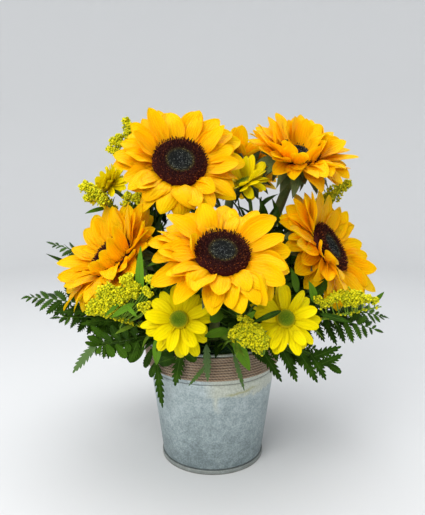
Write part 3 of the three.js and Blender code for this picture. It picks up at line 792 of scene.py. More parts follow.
# %% The six heads and their petals
# Each head's rows, arch and lean are as petal_rows reads them, and its folds as listed_petals does.
SUNFLOWERS = {
    1: {"rows": [(16, 4, -2, 36, 21), (16, 13, -6, 34.5, 20), (12, 25, -12, 30, 17.5)], "arch": (-85, 1.0),
        "folds": [(-84, 64, -112, 34, 27, -0.55), (-52, 46, -60, 20, 10, 0.5),
                  (-150, 40, -62, 34, 18, -0.1)]},
    2: {"rows": [(16, 2, -6, 37, 20), (15, 12, -12, 35, 19), (10, 25, -18, 30, 16)], "arch": (-80, 0.85),
        "folds": [(178, 62, 30, 21, 18, 0.3), (-128, 58, -104, 28, 20, -0.4), (-58, 48, -86, 30, 18, -0.3)]},
    3: {"rows": [(16, 14, -6, 36, 18), (12, 24, -10, 33, 17), (4, 34, -12, 30, 16)], "arch": (-60, 0.25),
        "lean": (180, 2, 16),
        "folds": [(-153, 26, -4, 41, 19, 0.2), (-144, 18, -8, 41, 19, 0.2), (-129, 2, -10, 38, 17, 0.2),
                  (-111, 14, -30, 42, 16, 0.2), (-87, 24, -40, 38, 16, 0.2), (-168, 30, -4, 32, 18, 0.2),
                  (165, 26, -4, 36, 19, 0.2), (153, 30, -4, 38, 21, 0.2), (135, 32, -6, 38, 19, 0.2),
                  (108, 40, 0, 30, 15, 0.2), (60, 50, 0, 38, 17, 0.2), (57, 34, 0, 38, 15, 0.2),
                  (36, 18, 30, 42, 9, 0.3), (27, 28, -10, 36, 18, 0.2), (-3, 12, -10, 34, 16, 0.2),
                  (-27, 64, -90, 32, 18, 0.1), (-58, 56, -100, 32, 17, -0.1), (-84, 72, -10, 18, 15, 0.2),
                  (-58, 80, 0, 22, 16, 0.2), (-38, 84, 0, 20, 15, 0.2), (-18, 84, 0, 24, 15, 0.2),
                  (4, 80, 0, 28, 15, 0.2), (28, 72, 0, 32, 15, 0.2), (50, 46, -8, 33, 14, 0.2)]},
    4: {"rows": [(16, 2, -4, 35, 19), (13, 11, -8, 33, 18), (6, 20, -12, 29, 16)], "arch": (-110, 0.4),
        "lean": (0, 20, 26),
        "folds": [(202, 30, 60, 16, 19, 0.55), (214, 56, -66, 27, 14, 0.1), (176, 34, -20, 27, 17, 0.2),
                  (132, 12, 0, 42, 18, 0.2), (124, 24, 0, 39, 17, 0.2), (112, 32, 0, 36, 18, 0.2),
                  (88, 36, 0, 36, 17, 0.2), (58, 30, 0, 34, 16, 0.2), (33, 26, 0, 35, 17, 0.2),
                  (3, 4, 0, 34, 14, 0.2), (-39, 14, 0, 40, 17, 0.2), (-57, 12, 0, 44, 18, 0.2),
                  (-141, 28, -20, 38, 17, 0.2), (-147, 12, -30, 36, 17, 0.2), (-162, 6, -20, 38, 17, 0.2),
                  (156, 2, 0, 42, 18, 0.2), (171, 2, 0, 41, 18, 0.2)]},
    5: {"rows": [(15, 14, -4, 35, 18), (13, 28, -6, 33, 17), (5, 40, -6, 29, 15)], "arch": (-75, 0.3),
        "folds": [(117, 4, -4, 36, 12, 0.2), (111, 26, 0, 33, 15, 0.2), (90, 26, 0, 36, 17, 0.2),
                  (75, 22, 0, 34, 12, 0.2), (63, 28, 0, 36, 18, 0.2), (45, 26, -4, 34, 23, 0.2),
                  (27, 22, -10, 36, 20, 0.2), (0, 16, -10, 36, 16, 0.2), (-21, 14, -4, 39, 17, 0.2),
                  (-72, 36, -20, 36, 17, 0.2), (-93, 40, -50, 34, 18, 0.2), (-120, 30, -60, 30, 20, 0.1),
                  (-153, 30, -20, 30, 17, 0.2), (-174, 42, 0, 23, 19, 0.2), (-152, 70, 0, 22, 20, 0.25),
                  (-80, 86, -6, 22, 19, 0.25), (-56, 88, -10, 25, 20, 0.25),
                  (-30, 84, 0, 25, 19, 0.3), (-4, 78, 0, 24, 19, 0.3), (22, 70, 0, 25, 18, 0.3),
                  (-78, 52, -76, 34, 20, 0.1)],
        "inner": [(30, 56, -4, 27, 18, 0.2), (62, 60, 0, 27, 18, 0.2), (92, 58, 0, 28, 18, 0.2),
                  (124, 60, 0, 26, 17, 0.2), (156, 64, -6, 24, 17, 0.2), (-4, 66, -6, 24, 17, 0.2)]},
    6: {"rows": [(16, 8, -4, 38, 20), (15, 18, -8, 36, 19), (10, 30, -14, 31, 16)], "arch": (-90, 0.8),
        "folds": [(-100, 58, -100, 30, 19, -0.4), (-60, 52, -84, 29, 18, -0.3)]},
}

BACK = {"sunflower": 1.7, "daisy": 1.2}  # how far a disc's flat back stands before its petals' plane
FOLD_HEIGHT = 2.2  # how far before that plane the listed petals start
INNER = {"root": 0.5, "height": 5.5}  # where the inner petals start: share of the disc's radius, and height
PETAL_SUNK = 1.5  # how far inside the disc's edge a petal's root lies

heads = {}
for number, flower in SUNFLOWERS.items():
    origin, axes, radius = head_frame(f"sunflower_{number}_disc", BACK["sunflower"])
    heads[number] = (origin, axes, radius)
    lean = flower.get("lean", (0, 0, 0))
    sets = [(1.0, petal_rows(flower["rows"], flower["arch"], lean, 40 + number)),
            (1.0, listed_petals(flower["folds"], FOLD_HEIGHT, 60 + number))]
    if "inner" in flower:
        sets.append((INNER["root"], listed_petals(flower["inner"], INNER["height"], 70 + number)))
    skins = []
    for root, chosen in sets:
        azimuth, height = chosen.pop("azimuth"), chosen.pop("height")
        rings, values = blades(PETAL_SHARE, PETAL_OUTLINE, bend=1.15, groove=0.42, across=9, **chosen)
        skins.append(skin(whorl(origin, axes, azimuth, root * radius - PETAL_SUNK, height, rings), **values))
    build(f"sunflower_{number}_ray_petals", skins, sunflower_petal,
          [f"sunflower_{number}_petals"])

# %% [markdown]
# ## Sunflower discs
# Disc florets grow in the sunflower spiral: each one stands a golden angle round from the last, at a radius
# that grows with the square root of its number, so all have the same room. The inner ones are closed
# grey-green buds, a thin olive ring is about to open, and the outer ones are open, dark maroon and ragged.

# %% Disc finish
seed_head = Finish("sunflower_disc", {"Roughness": 0.9, "Specular IOR Level": 0.12})
radial, share, tint = seed_head.carried("radial"), seed_head.carried("share"), seed_head.carried("tint")
ring_colour = seed_head.ramp(radial, (0.0, (0.006, 0.007, 0.008)), (0.40, (0.009, 0.010, 0.009)),
                             (0.49, (0.030, 0.022, 0.008)), (0.56, (0.024, 0.005, 0.005)),
                             (1.0, (0.036, 0.006, 0.005)))
tip_colour = seed_head.ramp(radial, (0.0, (0.17, 0.19, 0.20)), (0.40, (0.19, 0.20, 0.15)),
                            (0.49, (0.26, 0.19, 0.045)), (0.57, (0.16, 0.040, 0.016)),
                            (1.0, (0.44, 0.115, 0.018)))
# Only the tips of a few florets catch the light: the share squared times the tint cubed.
lit = seed_head.times(seed_head.math("POWER", share, 2.0), seed_head.math("POWER", tint, 3.0))
disc_colour = seed_head.mix(lit, ring_colour, tip_colour)
sunflower_disc = seed_head.wear(disc_colour, None, seed_head.grain(0.5, 2.0), 0.2)
print("disc finish ready")

# %% Disc florets
BUD = [(0, 0.9), (0.6, 1.0), (1, 0.2)]
OPEN_FLORET = [(0, 0.6), (0.7, 1.0), (1, 0.35)]
BUDS = {"profile": BUD, "ragged": 0.10, "length": (0.7, 1.1), "half": 0.40, "lobes": 0.0}
OPEN_FLORETS = {"profile": OPEN_FLORET, "ragged": 0.24, "length": (1.5, 3.1), "half": 0.36, "lobes": 0.45}
BED_SHARE = np.array([0.0, 0.2, 0.4, 0.55, 0.7, 0.85, 0.97, 1.0])  # of the disc's radius
BED_HEIGHT = np.array([0.62, 0.64, 0.70, 0.72, 0.74, 0.70, 0.45, 0.18])  # of the disc's height
# crowding is florets for each square millimetre of the radius squared. height is the disc's. Florets are open
# from the share open_from of the radius outwards.
SUNFLOWER_DISC = {"crowding": 1.75, "height": 8.5, "open_from": 0.52}
DAISY_DISC = {"crowding": 3.4, "height": 4.0, "open_from": 0.8}


def spiral(count, radius):
    """Places in the sunflower spiral: radius times the root of number over count, a golden angle apart."""
    number = np.arange(count)
    away = radius * np.sqrt((number + 0.5) / count)
    return away, number * GOLDEN


def disc_skins(origin, axes, radius, seed, crowding, height, open_from):
    """A disc's domed bed and its florets, from the bed's height at each radius."""
    rng = np.random.default_rng(seed)
    right, up, facing = axes
    bed_height = height * BED_HEIGHT
    bed = np.stack([BED_SHARE[::-1] * radius + 0.01, bed_height[::-1] + 1.7], 1)
    bed = np.concatenate([[(0.01, 1.75), (radius, 1.75)], bed])
    skins = [turned(bed, 40, axes, origin, radial=np.append([0, 1.0], BED_SHARE[::-1])[None, :, None])]
    away, angle = spiral(int(crowding * radius**2), radius - 0.8)
    out = np.cos(angle)[:, None] * right + np.sin(angle)[:, None] * up
    level = np.interp(away / radius, BED_SHARE, bed_height) + 1.5
    place = origin + out * away[:, None] + facing * level[:, None]
    lean = (away / radius) ** 3 * 0.75
    room = radius * np.sqrt(np.pi / len(away))
    longer = 1 + 2.5 * np.maximum(0, away / radius - 0.8)
    is_bud = away < open_from * radius
    for kind, kept in ((BUDS, is_bud), (OPEN_FLORETS, ~is_bud)):
        count = int(kept.sum())
        way = facing + out[kept] * lean[kept][:, None] + rng.normal(0, kind["ragged"], (count, 3))
        length = rng.uniform(*kind["length"], count) * longer[kept] * height / 8.5
        skins.append(spikes(place[kept], way, length, room * kind["half"], kind["profile"], 5, kind["lobes"],
                            radial=away[kept] / radius, tint=rng.uniform(0, 1, count)))
    return skins


for number, (origin, axes, radius) in heads.items():
    build(f"sunflower_{number}_florets", disc_skins(origin, axes, radius, 80 + number, **SUNFLOWER_DISC),
          sunflower_disc, [f"sunflower_{number}_disc"])

# %% [markdown]
# ## Sunflower stems and bracts
# The back of a head is as finished as its front: a shallow cup narrows into a thick hairy stem, and rows of
# leafy bracts with drawn-out tips stand out round it. The stem follows the curve measured from its plain
# solid, with shallow ribs and short stiff hairs.

# %% Stem finish
stalk = Finish("sunflower_stem", {"Roughness": 0.65, "Specular IOR Level": 0.3, "Sheen Weight": 0.12,
                                  "Sheen Roughness": 0.35})
stalk_colour = stalk.ramp(stalk.grain(14, 4.0), (0.3, (0.050, 0.085, 0.014)), (0.5, (0.105, 0.135, 0.028)),
                          (0.72, (0.150, 0.115, 0.045)))
bract_colour = stalk.ramp(stalk.carried("along"), (0.0, (0.16, 0.21, 0.06)), (0.4, (0.085, 0.135, 0.030)),
                          (1.0, (0.055, 0.070, 0.022)))
stalk_colour = stalk.mix(stalk.times(stalk.carried("leafy"), 0.85), stalk_colour, bract_colour)
fine = stalk.grain(0.8, 3.0, (1, 1, 0.4))
stalk_colour = stalk.mix(stalk.level(fine, (0.5, 0), (0.75, 0.35)), stalk_colour, (0.24, 0.27, 0.12))
sunflower_stem = stalk.wear(stalk_colour, None, fine, 0.25)
print("stem finish ready")

# %% Stems, cups, bracts and hairs
BRACT_SHARE = crowded(11, 0.2)
BRACT_OUTLINE = np.sin(np.pi * np.clip(0.30 + 0.70 * BRACT_SHARE**0.8, 0, 1)) ** 0.9 * 0.98 + 0.02
STEM = {"radius": 4.4, "cup_depth": 12.0, "ribs": 10, "sides": 20, "stations": 44, "hairs": 300}


def stem_hairs(path, rng):
    """Short stiff hairs all over a stem, as spikes at random stations and angles."""
    count = STEM["hairs"]
    _, side, up = frames_along(path)
    pick = rng.integers(len(path) // 3, len(path) - 1, count)
    blend = rng.uniform(0, 1, (count, 1))
    turn = rng.uniform(0, 2 * np.pi, (count, 1))
    out = np.cos(turn) * side[pick] + np.sin(turn) * up[pick]
    base = path[pick] * (1 - blend) + path[pick + 1] * blend + out * STEM["radius"] * 0.97
    way = out + rng.normal(0, 0.3, (count, 3))
    return spikes(base, way, rng.uniform(0.6, 1.6, count), 0.05, [(0, 1), (1, 0.2)], 3,
                  tint=rng.uniform(0, 1, count))


def cup_profile(radius):
    """The cup under a head, as radius and height: from the stem out to the disc's edge, and in again."""
    depth, neck = STEM["cup_depth"], STEM["radius"]
    return [(0.01, -depth - 0.2), (neck * 1.02, -depth - 0.2), (neck + 2.2, -depth + 1.2),
            (radius * 0.55, -depth * 0.66), (radius * 0.85, -depth * 0.42), (radius + 0.2, -3.4),
            (radius + 0.9, -1.6), (radius + 0.4, -0.35), (radius - 2, -0.3), (0.01, -0.3)]


def bract_rows(radius):
    """Rows of bracts from the cup's edge down: (count, lift, curl, length, width, start, height)."""
    return [(13, -6, -34, 27, 11, radius - 3.0, -2.6), (12, -16, -42, 24, 11, radius - 5.0, -4.4),
            (9, -34, -48, 18, 9, radius * 0.62, -6.8)]


for number, (origin, axes, radius) in heads.items():
    rng = np.random.default_rng(100 + number)
    share = np.linspace(0, 1, STEM["stations"])
    path = stalk_line(f"sunflower_{number}_stem")(share)
    corner = 2 * np.pi * np.arange(STEM["sides"]) / STEM["sides"]
    ribbed = STEM["radius"] * (1 + 0.035 * np.cos(STEM["ribs"] * corner)) \
        * (1 + np.maximum(0, share[:, None] - 0.9))
    skins = [tube(path, ribbed, STEM["sides"]), turned(cup_profile(radius), 36, axes, origin)]
    for row, (count, lift, curl, length, width, start, level) in enumerate(bract_rows(radius)):
        azimuth = 2 * np.pi * (np.arange(count) + 0.4 * row + rng.uniform(-0.2, 0.2, count)) / count
        rings, values = blades(
            BRACT_SHARE, BRACT_OUTLINE, length * rng.uniform(0.85, 1.12, count),
            width * rng.uniform(0.9, 1.15, count), np.radians(lift + rng.normal(0, 8, count)),
            np.radians(curl + rng.normal(0, 22, count)), bend=1.3, cup=0.22 + rng.uniform(-0.1, 0.15, count),
            roll=np.radians(rng.normal(0, 10, count)), twist=np.radians(rng.normal(0, 20, count)),
            groove=-0.22, ribs=1, ripple=0.06, thickness=0.5, across=7, tint=rng.uniform(0, 1, count))
        skins.append(skin(whorl(origin, axes, azimuth, start, level, rings), leafy=1.0, **values))
    skins.append(stem_hairs(path, rng))
    build(f"sunflower_{number}_stalk", skins, sunflower_stem, [f"sunflower_{number}_stem"])

# %% [markdown]
# ## Daisies
# The yellow daisies between the sunflowers have two rows of blunt, grooved rays round a small green dome.
# They are built the same way as the sunflowers, with a rounder outline and three grooves in each ray. The
# third one is a fuller, shaggier kind, turned to the side.

# %% Daisy finishes
ray = Finish("daisy_ray", {"Roughness": 0.5, "Specular IOR Level": 0.28, "Specular Tint": (1.0, 0.8, 0.04, 1),
                           "Subsurface Weight": 0.5, "Subsurface Radius": (1.0, 0.8, 0.04),
                           "Subsurface Scale": 0.004})
line = ray.math("SINE", ray.scaled(ray.carried("across"), 13.0, ray.times(ray.grain(5, 2.0), 3.0)))
ray_colour = ray.ramp(ray.carried("along"), (0.0, (0.42, 0.38, 0.002)), (0.16, (0.72, 0.54, 0.001)),
                      (0.6, (0.90, 0.68, 0.001)), (1.0, (0.95, 0.74, 0.002)))
ray_colour = ray.mix(ray.times(ray.carried("tint"), 0.35), ray_colour, (0.80, 0.58, 0.001))
ray_colour = ray.mix(ray.level(line, (0.2, 0), (1.0, 0.28)), ray_colour, (0.58, 0.43, 0.001))
# The undersides are paler, and they are painted brighter still as painted light, because rays seen from
# behind sit in shade.
ray_colour = ray.mix(ray.times(ray.carried("under"), 0.6), ray_colour, (0.97, 0.80, 0.01))
daisy_ray = ray.wear(ray_colour, None, ray.math("ADD", ray.times(line, 0.5), ray.grain(0.6, 2.0)), 0.12)

button = Finish("daisy_disc", {"Roughness": 0.8, "Specular IOR Level": 0.08})
button_colour = button.ramp(button.carried("radial"), (0.0, (0.050, 0.110, 0.003)),
                            (0.6, (0.085, 0.145, 0.004)), (0.85, (0.20, 0.22, 0.005)),
                            (1.0, (0.50, 0.40, 0.004)))
lit = button.times(button.carried("share"), button.times(button.carried("tint"), 0.7))
button_colour = button.mix(lit, button_colour, (0.24, 0.29, 0.008))
daisy_button = button.wear(button_colour, None, button.grain(0.4, 2.0), 0.1)

twig = Finish("daisy_stem", {"Roughness": 0.55, "Specular IOR Level": 0.35})
twig_colour = twig.ramp(twig.grain(6, 4.0, (1, 1, 0.4)), (0.3, (0.060, 0.125, 0.018)),
                        (0.7, (0.120, 0.205, 0.035)))
daisy_stem = twig.wear(twig_colour, None, twig.grain(0.7, 2.0, (1, 1, 0.3)), 0.12)
print("daisy finishes ready")

# %% Daisy rays, discs and stems
RAY_SHARE = crowded(12)
RAY_OUTLINE = (0.42 + 0.58 * np.sin(np.pi / 2 * np.minimum(1, RAY_SHARE / 0.62))) \
    * (1 - RAY_SHARE**5.0) ** 0.55 + 0.02
# Each daisy's rays are (count in each of two rows, lift, curl, length, width). Those that stand apart are
# listed one by one as (azimuth, lift, curl, length, width).
DAISIES = {
    1: {"rays": (9, 8, -18, 22.5, 10),
        "apart": [(-88, 0, -66, 25, 10), (-128, 10, -92, 24, 9), (-62, 6, -50, 26, 10),
                  (186, 2, -30, 25, 8.5), (-20, 20, -84, 20, 9)]},
    2: {"rays": (9, 12, -16, 22.5, 9.5),
        "apart": [(95, 30, -20, 22, 9), (-60, 16, -70, 22, 9.5), (-110, 4, -46, 23, 9)]},
    3: {"rays": (22, 26, -8, 18.5, 7.0),
        "apart": [(-90, -20, -40, 18, 7), (-60, -16, -30, 18, 7), (90, 0, 10, 18, 7.5), (70, -6, 16, 18, 7.5),
                  (110, -4, 12, 18, 7.5), (130, 6, 6, 18, 7.5), (50, 4, 8, 18, 7.5), (82, 58, 0, 15, 7),
                  (100, 46, 0, 16, 7), (36, -32, -8, 20, 7.5), (24, -38, -8, 20, 7.5),
                  (138, -14, -8, 16, 7.5), (138, 10, -8, 14, 7.5), (156, 28, -8, 18, 7.5),
                  (12, 28, -8, 18, 7.5), (0, 22, -8, 20, 7.5), (180, -32, -8, 20, 7.5),
                  (-6, -20, -8, 20, 7.5), (42, -26, -8, 18, 7.5), (0, 40, 0, 21, 8), (18, 40, 0, 21, 8),
                  (30, 26, 0, 21, 8), (-18, 32, 0, 20, 8)]},
    4: {"rays": (9, 14, -10, 19, 9.5),
        "apart": [(90, 58, -6, 23, 11), (74, 30, -12, 21, 11), (48, -10, -16, 17, 8), (20, -28, -14, 18, 9),
                  (130, 55, 0, 20, 10), (156, 58, 0, 20, 10), (185, 52, 0, 19, 10), (110, 62, -5, 22, 10),
                  (-24, -20, -30, 18, 9)]},
    5: {"rays": (9, 12, -20, 22, 9.5), "apart": [(-70, 10, -70, 22, 9)]},
}


def ray_numbers(flower, rng):
    """Azimuth, lift, curl, length and width of a daisy's rays: two full rows, then those that stand apart."""
    count, lift, curl, length, width = flower["rays"]
    rows = [[np.degrees(2 * np.pi * (np.arange(count) + 0.5 * row + rng.uniform(-0.2, 0.2, count)) / count),
             lift + 14 * row - 6 + rng.normal(0, 6, count), curl + rng.normal(0, 16, count),
             length * (1 - 0.07 * row) * rng.uniform(0.9, 1.06, count),
             width * rng.uniform(0.85, 1.12, count)] for row in (0, 1)]
    return np.concatenate([*rows, np.transpose(flower["apart"])], 1)


def calyx_skins(origin, axes, radius):
    """The green cup under a daisy and its ring of sepals, which curl in on one side and out on the other."""
    cup = [(0.01, -5.1), (1.75, -5.1), (2.6, -4.2), (radius * 0.8, -2.9), (radius * 1.0, -1.2),
           (radius * 0.98, -0.3), (0.01, -0.3)]
    azimuth = 2 * np.pi * np.arange(16) / 16
    curl = np.radians(16 * np.cos(azimuth))
    rings, values = blades(BRACT_SHARE, BRACT_OUTLINE, 6.5, 2.8, np.radians(8), curl, cup=0.2, thickness=0.4,
                           across=5)
    sepals = skin(whorl(origin, axes, azimuth, radius * 0.55, -2.6, rings), **values)
    return [turned(cup, 24, axes, origin), sepals]


daisy_heads = {}
for number, flower in DAISIES.items():
    rng = np.random.default_rng(200 + number)
    origin, axes, radius = head_frame(f"daisy_{number}_disc", BACK["daisy"])
    daisy_heads[number] = (origin, axes, radius)
    azimuth, lift, curl, length, width = ray_numbers(flower, rng)
    total, count = len(azimuth), flower["rays"][0]
    rings, values = blades(
        RAY_SHARE, RAY_OUTLINE, length, width, np.radians(lift), np.radians(curl), bend=1.2,
        cup=0.18 + rng.uniform(-0.25, 0.2, total), roll=np.radians(rng.normal(5, 9, total)),
        twist=np.radians(rng.normal(0, 16, total)), groove=0.24, ribs=3, ripple=0.04, thickness=0.3, across=9,
        tint=rng.uniform(0, 1, total))
    height = np.repeat([0.3, 0.8, 1.2], [count, count, total - 2 * count])
    rays = skin(whorl(origin, axes, np.radians(azimuth), radius - 0.9, height, rings), **values)
    build(f"daisy_{number}_rays", [rays], daisy_ray, [f"daisy_{number}_petals"])
    build(f"daisy_{number}_button", disc_skins(origin, axes, radius + 0.8, 220 + number, **DAISY_DISC),
          daisy_button, [f"daisy_{number}_disc"])
    stem = tube(stalk_line(f"daisy_{number}_stem")(np.linspace(0, 1, 30)), 1.7, 10)
    build(f"daisy_{number}_stalk", [stem, *calyx_skins(origin, axes, radius)], daisy_stem,
          [f"daisy_{number}_stem"])

# %% [markdown]
# ## Floral foam
# The stems stand in a block of wet green foam with a crumbly domed top. The plain block already has every
# stem's hole in the right place, so it stays, and its material carries the crumbs.

# %% Foam finish
foam = Finish("floral_foam", {"Roughness": 0.95, "Specular IOR Level": 0.15})
crumb = foam.grain(1.1, 6.0)
foam_colour = foam.ramp(crumb, (0.3, (0.010, 0.028, 0.012)), (0.6, (0.035, 0.085, 0.035)),
                        (0.8, (0.07, 0.14, 0.06)))
foam_finish = foam.wear(foam_colour, None, crumb, 1.2)
foam_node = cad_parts["floral_foam"]
foam_node.data.materials.clear()
foam_node.data.materials.append(foam_finish)
print("foam stays, with", len(foam_node.data.polygons), "faces")

# %% [markdown]
# ## Room between the flowers
# The greenery fills the gaps, and must never stand in front of a flower. So a leaf or leaflet that is placed
# by chance is first tested: points along it have to lie behind the face of each head near them, and clear of
# the bucket's wall.

# %% A test for free room
RIM = np.array([0, 0, wall_high[2]])
IN_FRONT = (-6, 60)  # how far before a head's plane a point is in the way
WALL_ROOM = (50, 69)  # the radii between which a point is too near the bucket's wall, below its rim
LOWEST = 112  # greenery placed by chance stays above this height
# The goldenrod's round clusters: (place, radius), measured from the middle of the rim.
CLUSTERS = {
    1: [((-92, -98, 49), 4.5), ((-88, -98, 53), 5), ((-82, -98, 49), 4.5), ((-81, -98, 56), 5),
        ((-77, -98, 51), 4.5), ((-75, -98, 58), 4.5), ((-84, -98, 62), 3.8), ((-79, -98, 65), 3.6),
        ((-71, -98, 56), 3.8), ((-68, -98, 72), 2.8), ((-64, -98, 74), 2.8), ((-63, -98, 69), 2.4),
        ((-63, -98, 64), 3.4), ((-58, -98, 66), 2.8), ((-59, -98, 60), 2.6), ((-67, -98, 59), 3.4),
        ((-71, -98, 63), 3), ((-47, -104, 74), 2.6), ((-44, -104, 70), 1.6), ((-50, -104, 65), 2.4),
        ((-47, -104, 62), 1.8), ((-54, -104, 53), 2.8), ((-50, -104, 50), 2.6), ((-48, -104, 54), 2)],
    2: [((-111, -30, 139), 3.4), ((-106, -30, 137), 4), ((-100, -30, 133), 4.4),
        ((-107, -30, 130), 3.6), ((-96, -30, 128), 4.2), ((-74, -26, 131), 3.2),
        ((-68, -26, 130), 3.4), ((-63, -26, 133), 3), ((-64, -26, 127), 3), ((-76, -26, 124), 2.8)],
    3: [((-86, 8, 183), 3), ((-91, 8, 179), 3.2), ((-85, 8, 177), 3.4),
        ((-94, 8, 172), 2.8), ((-89, 8, 170), 3.4)],
    5: [((86, -74, 50), 2.6), ((91, -74, 47), 3), ((96, -74, 50), 3.2), ((100, -74, 53), 3.6),
        ((106, -74, 54), 3.8), ((112, -74, 54), 4), ((117, -74, 53), 4), ((122, -74, 51), 3.6),
        ((127, -74, 51), 3), ((132, -74, 50), 2.4), ((109, -74, 49), 3.2), ((116, -74, 48), 3.2)],
    6: [((15, -119, 36), 2.8), ((19, -119, 39), 3.2), ((23, -119, 41), 3.4), ((28, -119, 43), 3.2),
        ((32, -119, 40), 3), ((35, -119, 37), 2.6), ((22, -119, 35), 3), ((27, -119, 36), 3.4),
        ((32, -119, 33), 3.2), ((24, -119, 30), 3), ((29, -119, 28), 3.4), ((34, -119, 30), 3.2),
        ((38, -119, 32), 2.8), ((34, -119, 25), 2.8), ((39, -119, 27), 2.4), ((20, -119, 48), 1.8),
        ((25, -119, 47), 1.6)],
}
clusters = [row for rows in CLUSTERS.values() for row in rows]
all_heads = [*heads.values(), *daisy_heads.values()]
faces_at = np.array([origin for origin, _, _ in all_heads] + [RIM + place for place, _ in clusters])
faces_to = np.array([axes[2] for _, axes, _ in all_heads] + [unit((0.0, -1.0, 0.3))] * len(clusters))
face_reach = np.array([radius + 34 for _, _, radius in heads.values()]
                      + [radius + 20 for _, _, radius in daisy_heads.values()]
                      + [radius + 3 for _, radius in clusters])


def clear_of_flowers(points):
    """True for points that are not in front of any head: depth is the part of the way along its facing."""
    apart = points[..., None, :] - faces_at
    depth = (apart * faces_to).sum(-1)
    away = np.linalg.norm(apart - depth[..., None] * faces_to, axis=-1)
    in_front = (depth > IN_FRONT[0]) & (depth < IN_FRONT[1]) & (away < face_reach)
    out, tall = np.linalg.norm(points[..., :2], axis=-1), points[..., 2]
    in_wall = (tall < RIM[2] + 2) & (out > WALL_ROOM[0]) & (out < WALL_ROOM[1])
    return ~in_front.any(-1) & ~in_wall & (tall > LOWEST)


print("heads to stay behind:", len(faces_at))

# %% [markdown]
# ## Goldenrod
# Goldenrod carries hundreds of florets, each only two millimetres across, crowded into a plume. They are set
# in the plume's outer half, thickest at its skin, and each looks outwards. Every floret is a little star of
# about thirty triangles. The plume's place and thickness are measured from its plain solid. On some sprays
# the branches spread, and the florets stand in round clusters, each on a twig of its own.

# %% Goldenrod finish
plume = Finish("goldenrod", {"Roughness": 0.7, "Specular IOR Level": 0.2})
share, tint, flower = plume.carried("share"), plume.carried("tint"), plume.carried("flower")
floret_colour = plume.ramp(share, (0.0, (0.14, 0.18, 0.003)), (0.4, (0.40, 0.40, 0.003)),
                           (0.75, (0.80, 0.73, 0.003)), (1.0, (0.68, 0.60, 0.002)))
floret_colour = plume.mix(plume.times(tint, 0.7), floret_colour, (0.24, 0.30, 0.004))
twig_green = plume.ramp(plume.grain(5, 2.0), (0.3, (0.085, 0.17, 0.010)), (0.7, (0.19, 0.31, 0.020)))
goldenrod_finish = plume.wear(plume.mix(flower, twig_green, floret_colour), None, plume.grain(0.5, 2.0), 0.1)
print("goldenrod finish ready")

# %% Leaves and round clusters
FLORET = [(0, 0.4), (0.7, 1.0), (1, 0.4)]
LEAF_SHARE = crowded(12, 0.2)
LEAF_OUTLINE = np.sin(np.pi * (0.06 + 0.94 * LEAF_SHARE**0.85)) ** 0.85 + 0.015
FEW_STATIONS = [0, 2, 4, 6, 8, 10, 11]  # the stations kept on leaves that come in hundreds


def heading(line, share):
    """The way a curve runs at each share of it, from a point just before to a point just after."""
    return unit(line(share + 0.01) - line(share - 0.01))


def outwards(way, turn):
    """The direction away from a curve at an angle round it: cosine times one side, sine times the other."""
    side, up = across_way(way)
    return np.cos(turn)[:, None] * side + np.sin(turn)[:, None] * up


def leaflets(roots, ways, uppers, length, width, seed, outline=LEAF_OUTLINE, plain=False, **shape):
    """Plain leaves from their roots along their ways, with faces towards uppers, with few faces if plain."""
    rng = np.random.default_rng(seed)
    count = len(roots)
    length = length * rng.uniform(0.9, 1.1, count)
    shape = {"tint": rng.uniform(0, 1, count), "groove": -0.25, "ripple": 0.05, **shape}
    kept, across = (FEW_STATIONS, 3) if plain else (slice(None), 7)
    rings, values = blades(LEAF_SHARE[kept], outline[kept], length, width * rng.uniform(0.9, 1.1, count),
                           ribs=1, thickness=0.35, across=across, **shape)
    return skin(placed(rings, np.asarray(roots, float), aimed(ways, uppers)), **values)


def cluster(middle, radius, line, rng):
    """A round cluster: a solid core, florets all over it at even steps of height, and a twig to the curve."""
    count = int(4.4 * radius**2) + 14
    height = 1 - 2 * (np.arange(count) + 0.5) / count
    angle = np.arange(count) * GOLDEN
    level = np.sqrt(1 - height**2)
    out = np.stack([level * np.cos(angle), level * np.sin(angle), height], 1)
    lumpy = 1 + 0.10 * np.sin(5 * angle / GOLDEN * 0.7 + middle[0]) + 0.30 * rng.normal(0, 1, count)
    seat = middle + out * (radius * 0.9 * lumpy)[:, None]
    face = unit(out + 0.5 * rng.normal(0, 1, (count, 3)))
    size = rng.uniform(0.75, 1.2, count)
    florets = spikes(seat - face * 1.2, face, 2.4 * size, 1.2 * size, FLORET, 6, 0.40,
                     tint=rng.uniform(0, 1, count) ** 1.6, flower=np.ones(count))
    profile = [(max(0.01, math.sin(step) * 0.66 * radius), -math.cos(step) * 0.66 * radius)
               for step in np.linspace(0, math.pi, 9)]
    core = turned(profile, 12, np.eye(3), middle, share=0.42, tint=0.35, flower=1.0)
    curve = line(np.linspace(0.2, 1, 60))
    near = curve[np.argmin(np.linalg.norm(curve - middle - [0, 0, -8], axis=1))]
    bow = (near + middle) / 2 + [0, 0, -4]
    path = bezier([near, (near + bow) / 2, (middle + bow) / 2 - [0, 0, 2], middle], np.linspace(0, 1, 10))
    return [florets, core, tube(path, 0.55, 6, tint=0.4)]


print("leaf stations", len(LEAF_SHARE), "round clusters", len(clusters))

# %% Goldenrod sprays
# A plume starts at the share begins of its spray. Where PLUME_SHARE names a spray, its branches spread into
# round clusters, and only this share of the plume's thickness is left in the middle.
GOLDENROD = {"begins": 0.54, "florets": 14.5, "twigs": 66, "leaves": 9, "steps": 16}
PLUME_SHARE = {1: 0.1, 2: 0.5, 5: 0.1, 6: 0.1}


def swelling(share, full):
    """How wide a plume is at each share of it: full times a power of a sine, and at most one."""
    return np.minimum(1, np.sin(np.pi * (0.12 + 0.80 * share)) ** 0.7 * full)


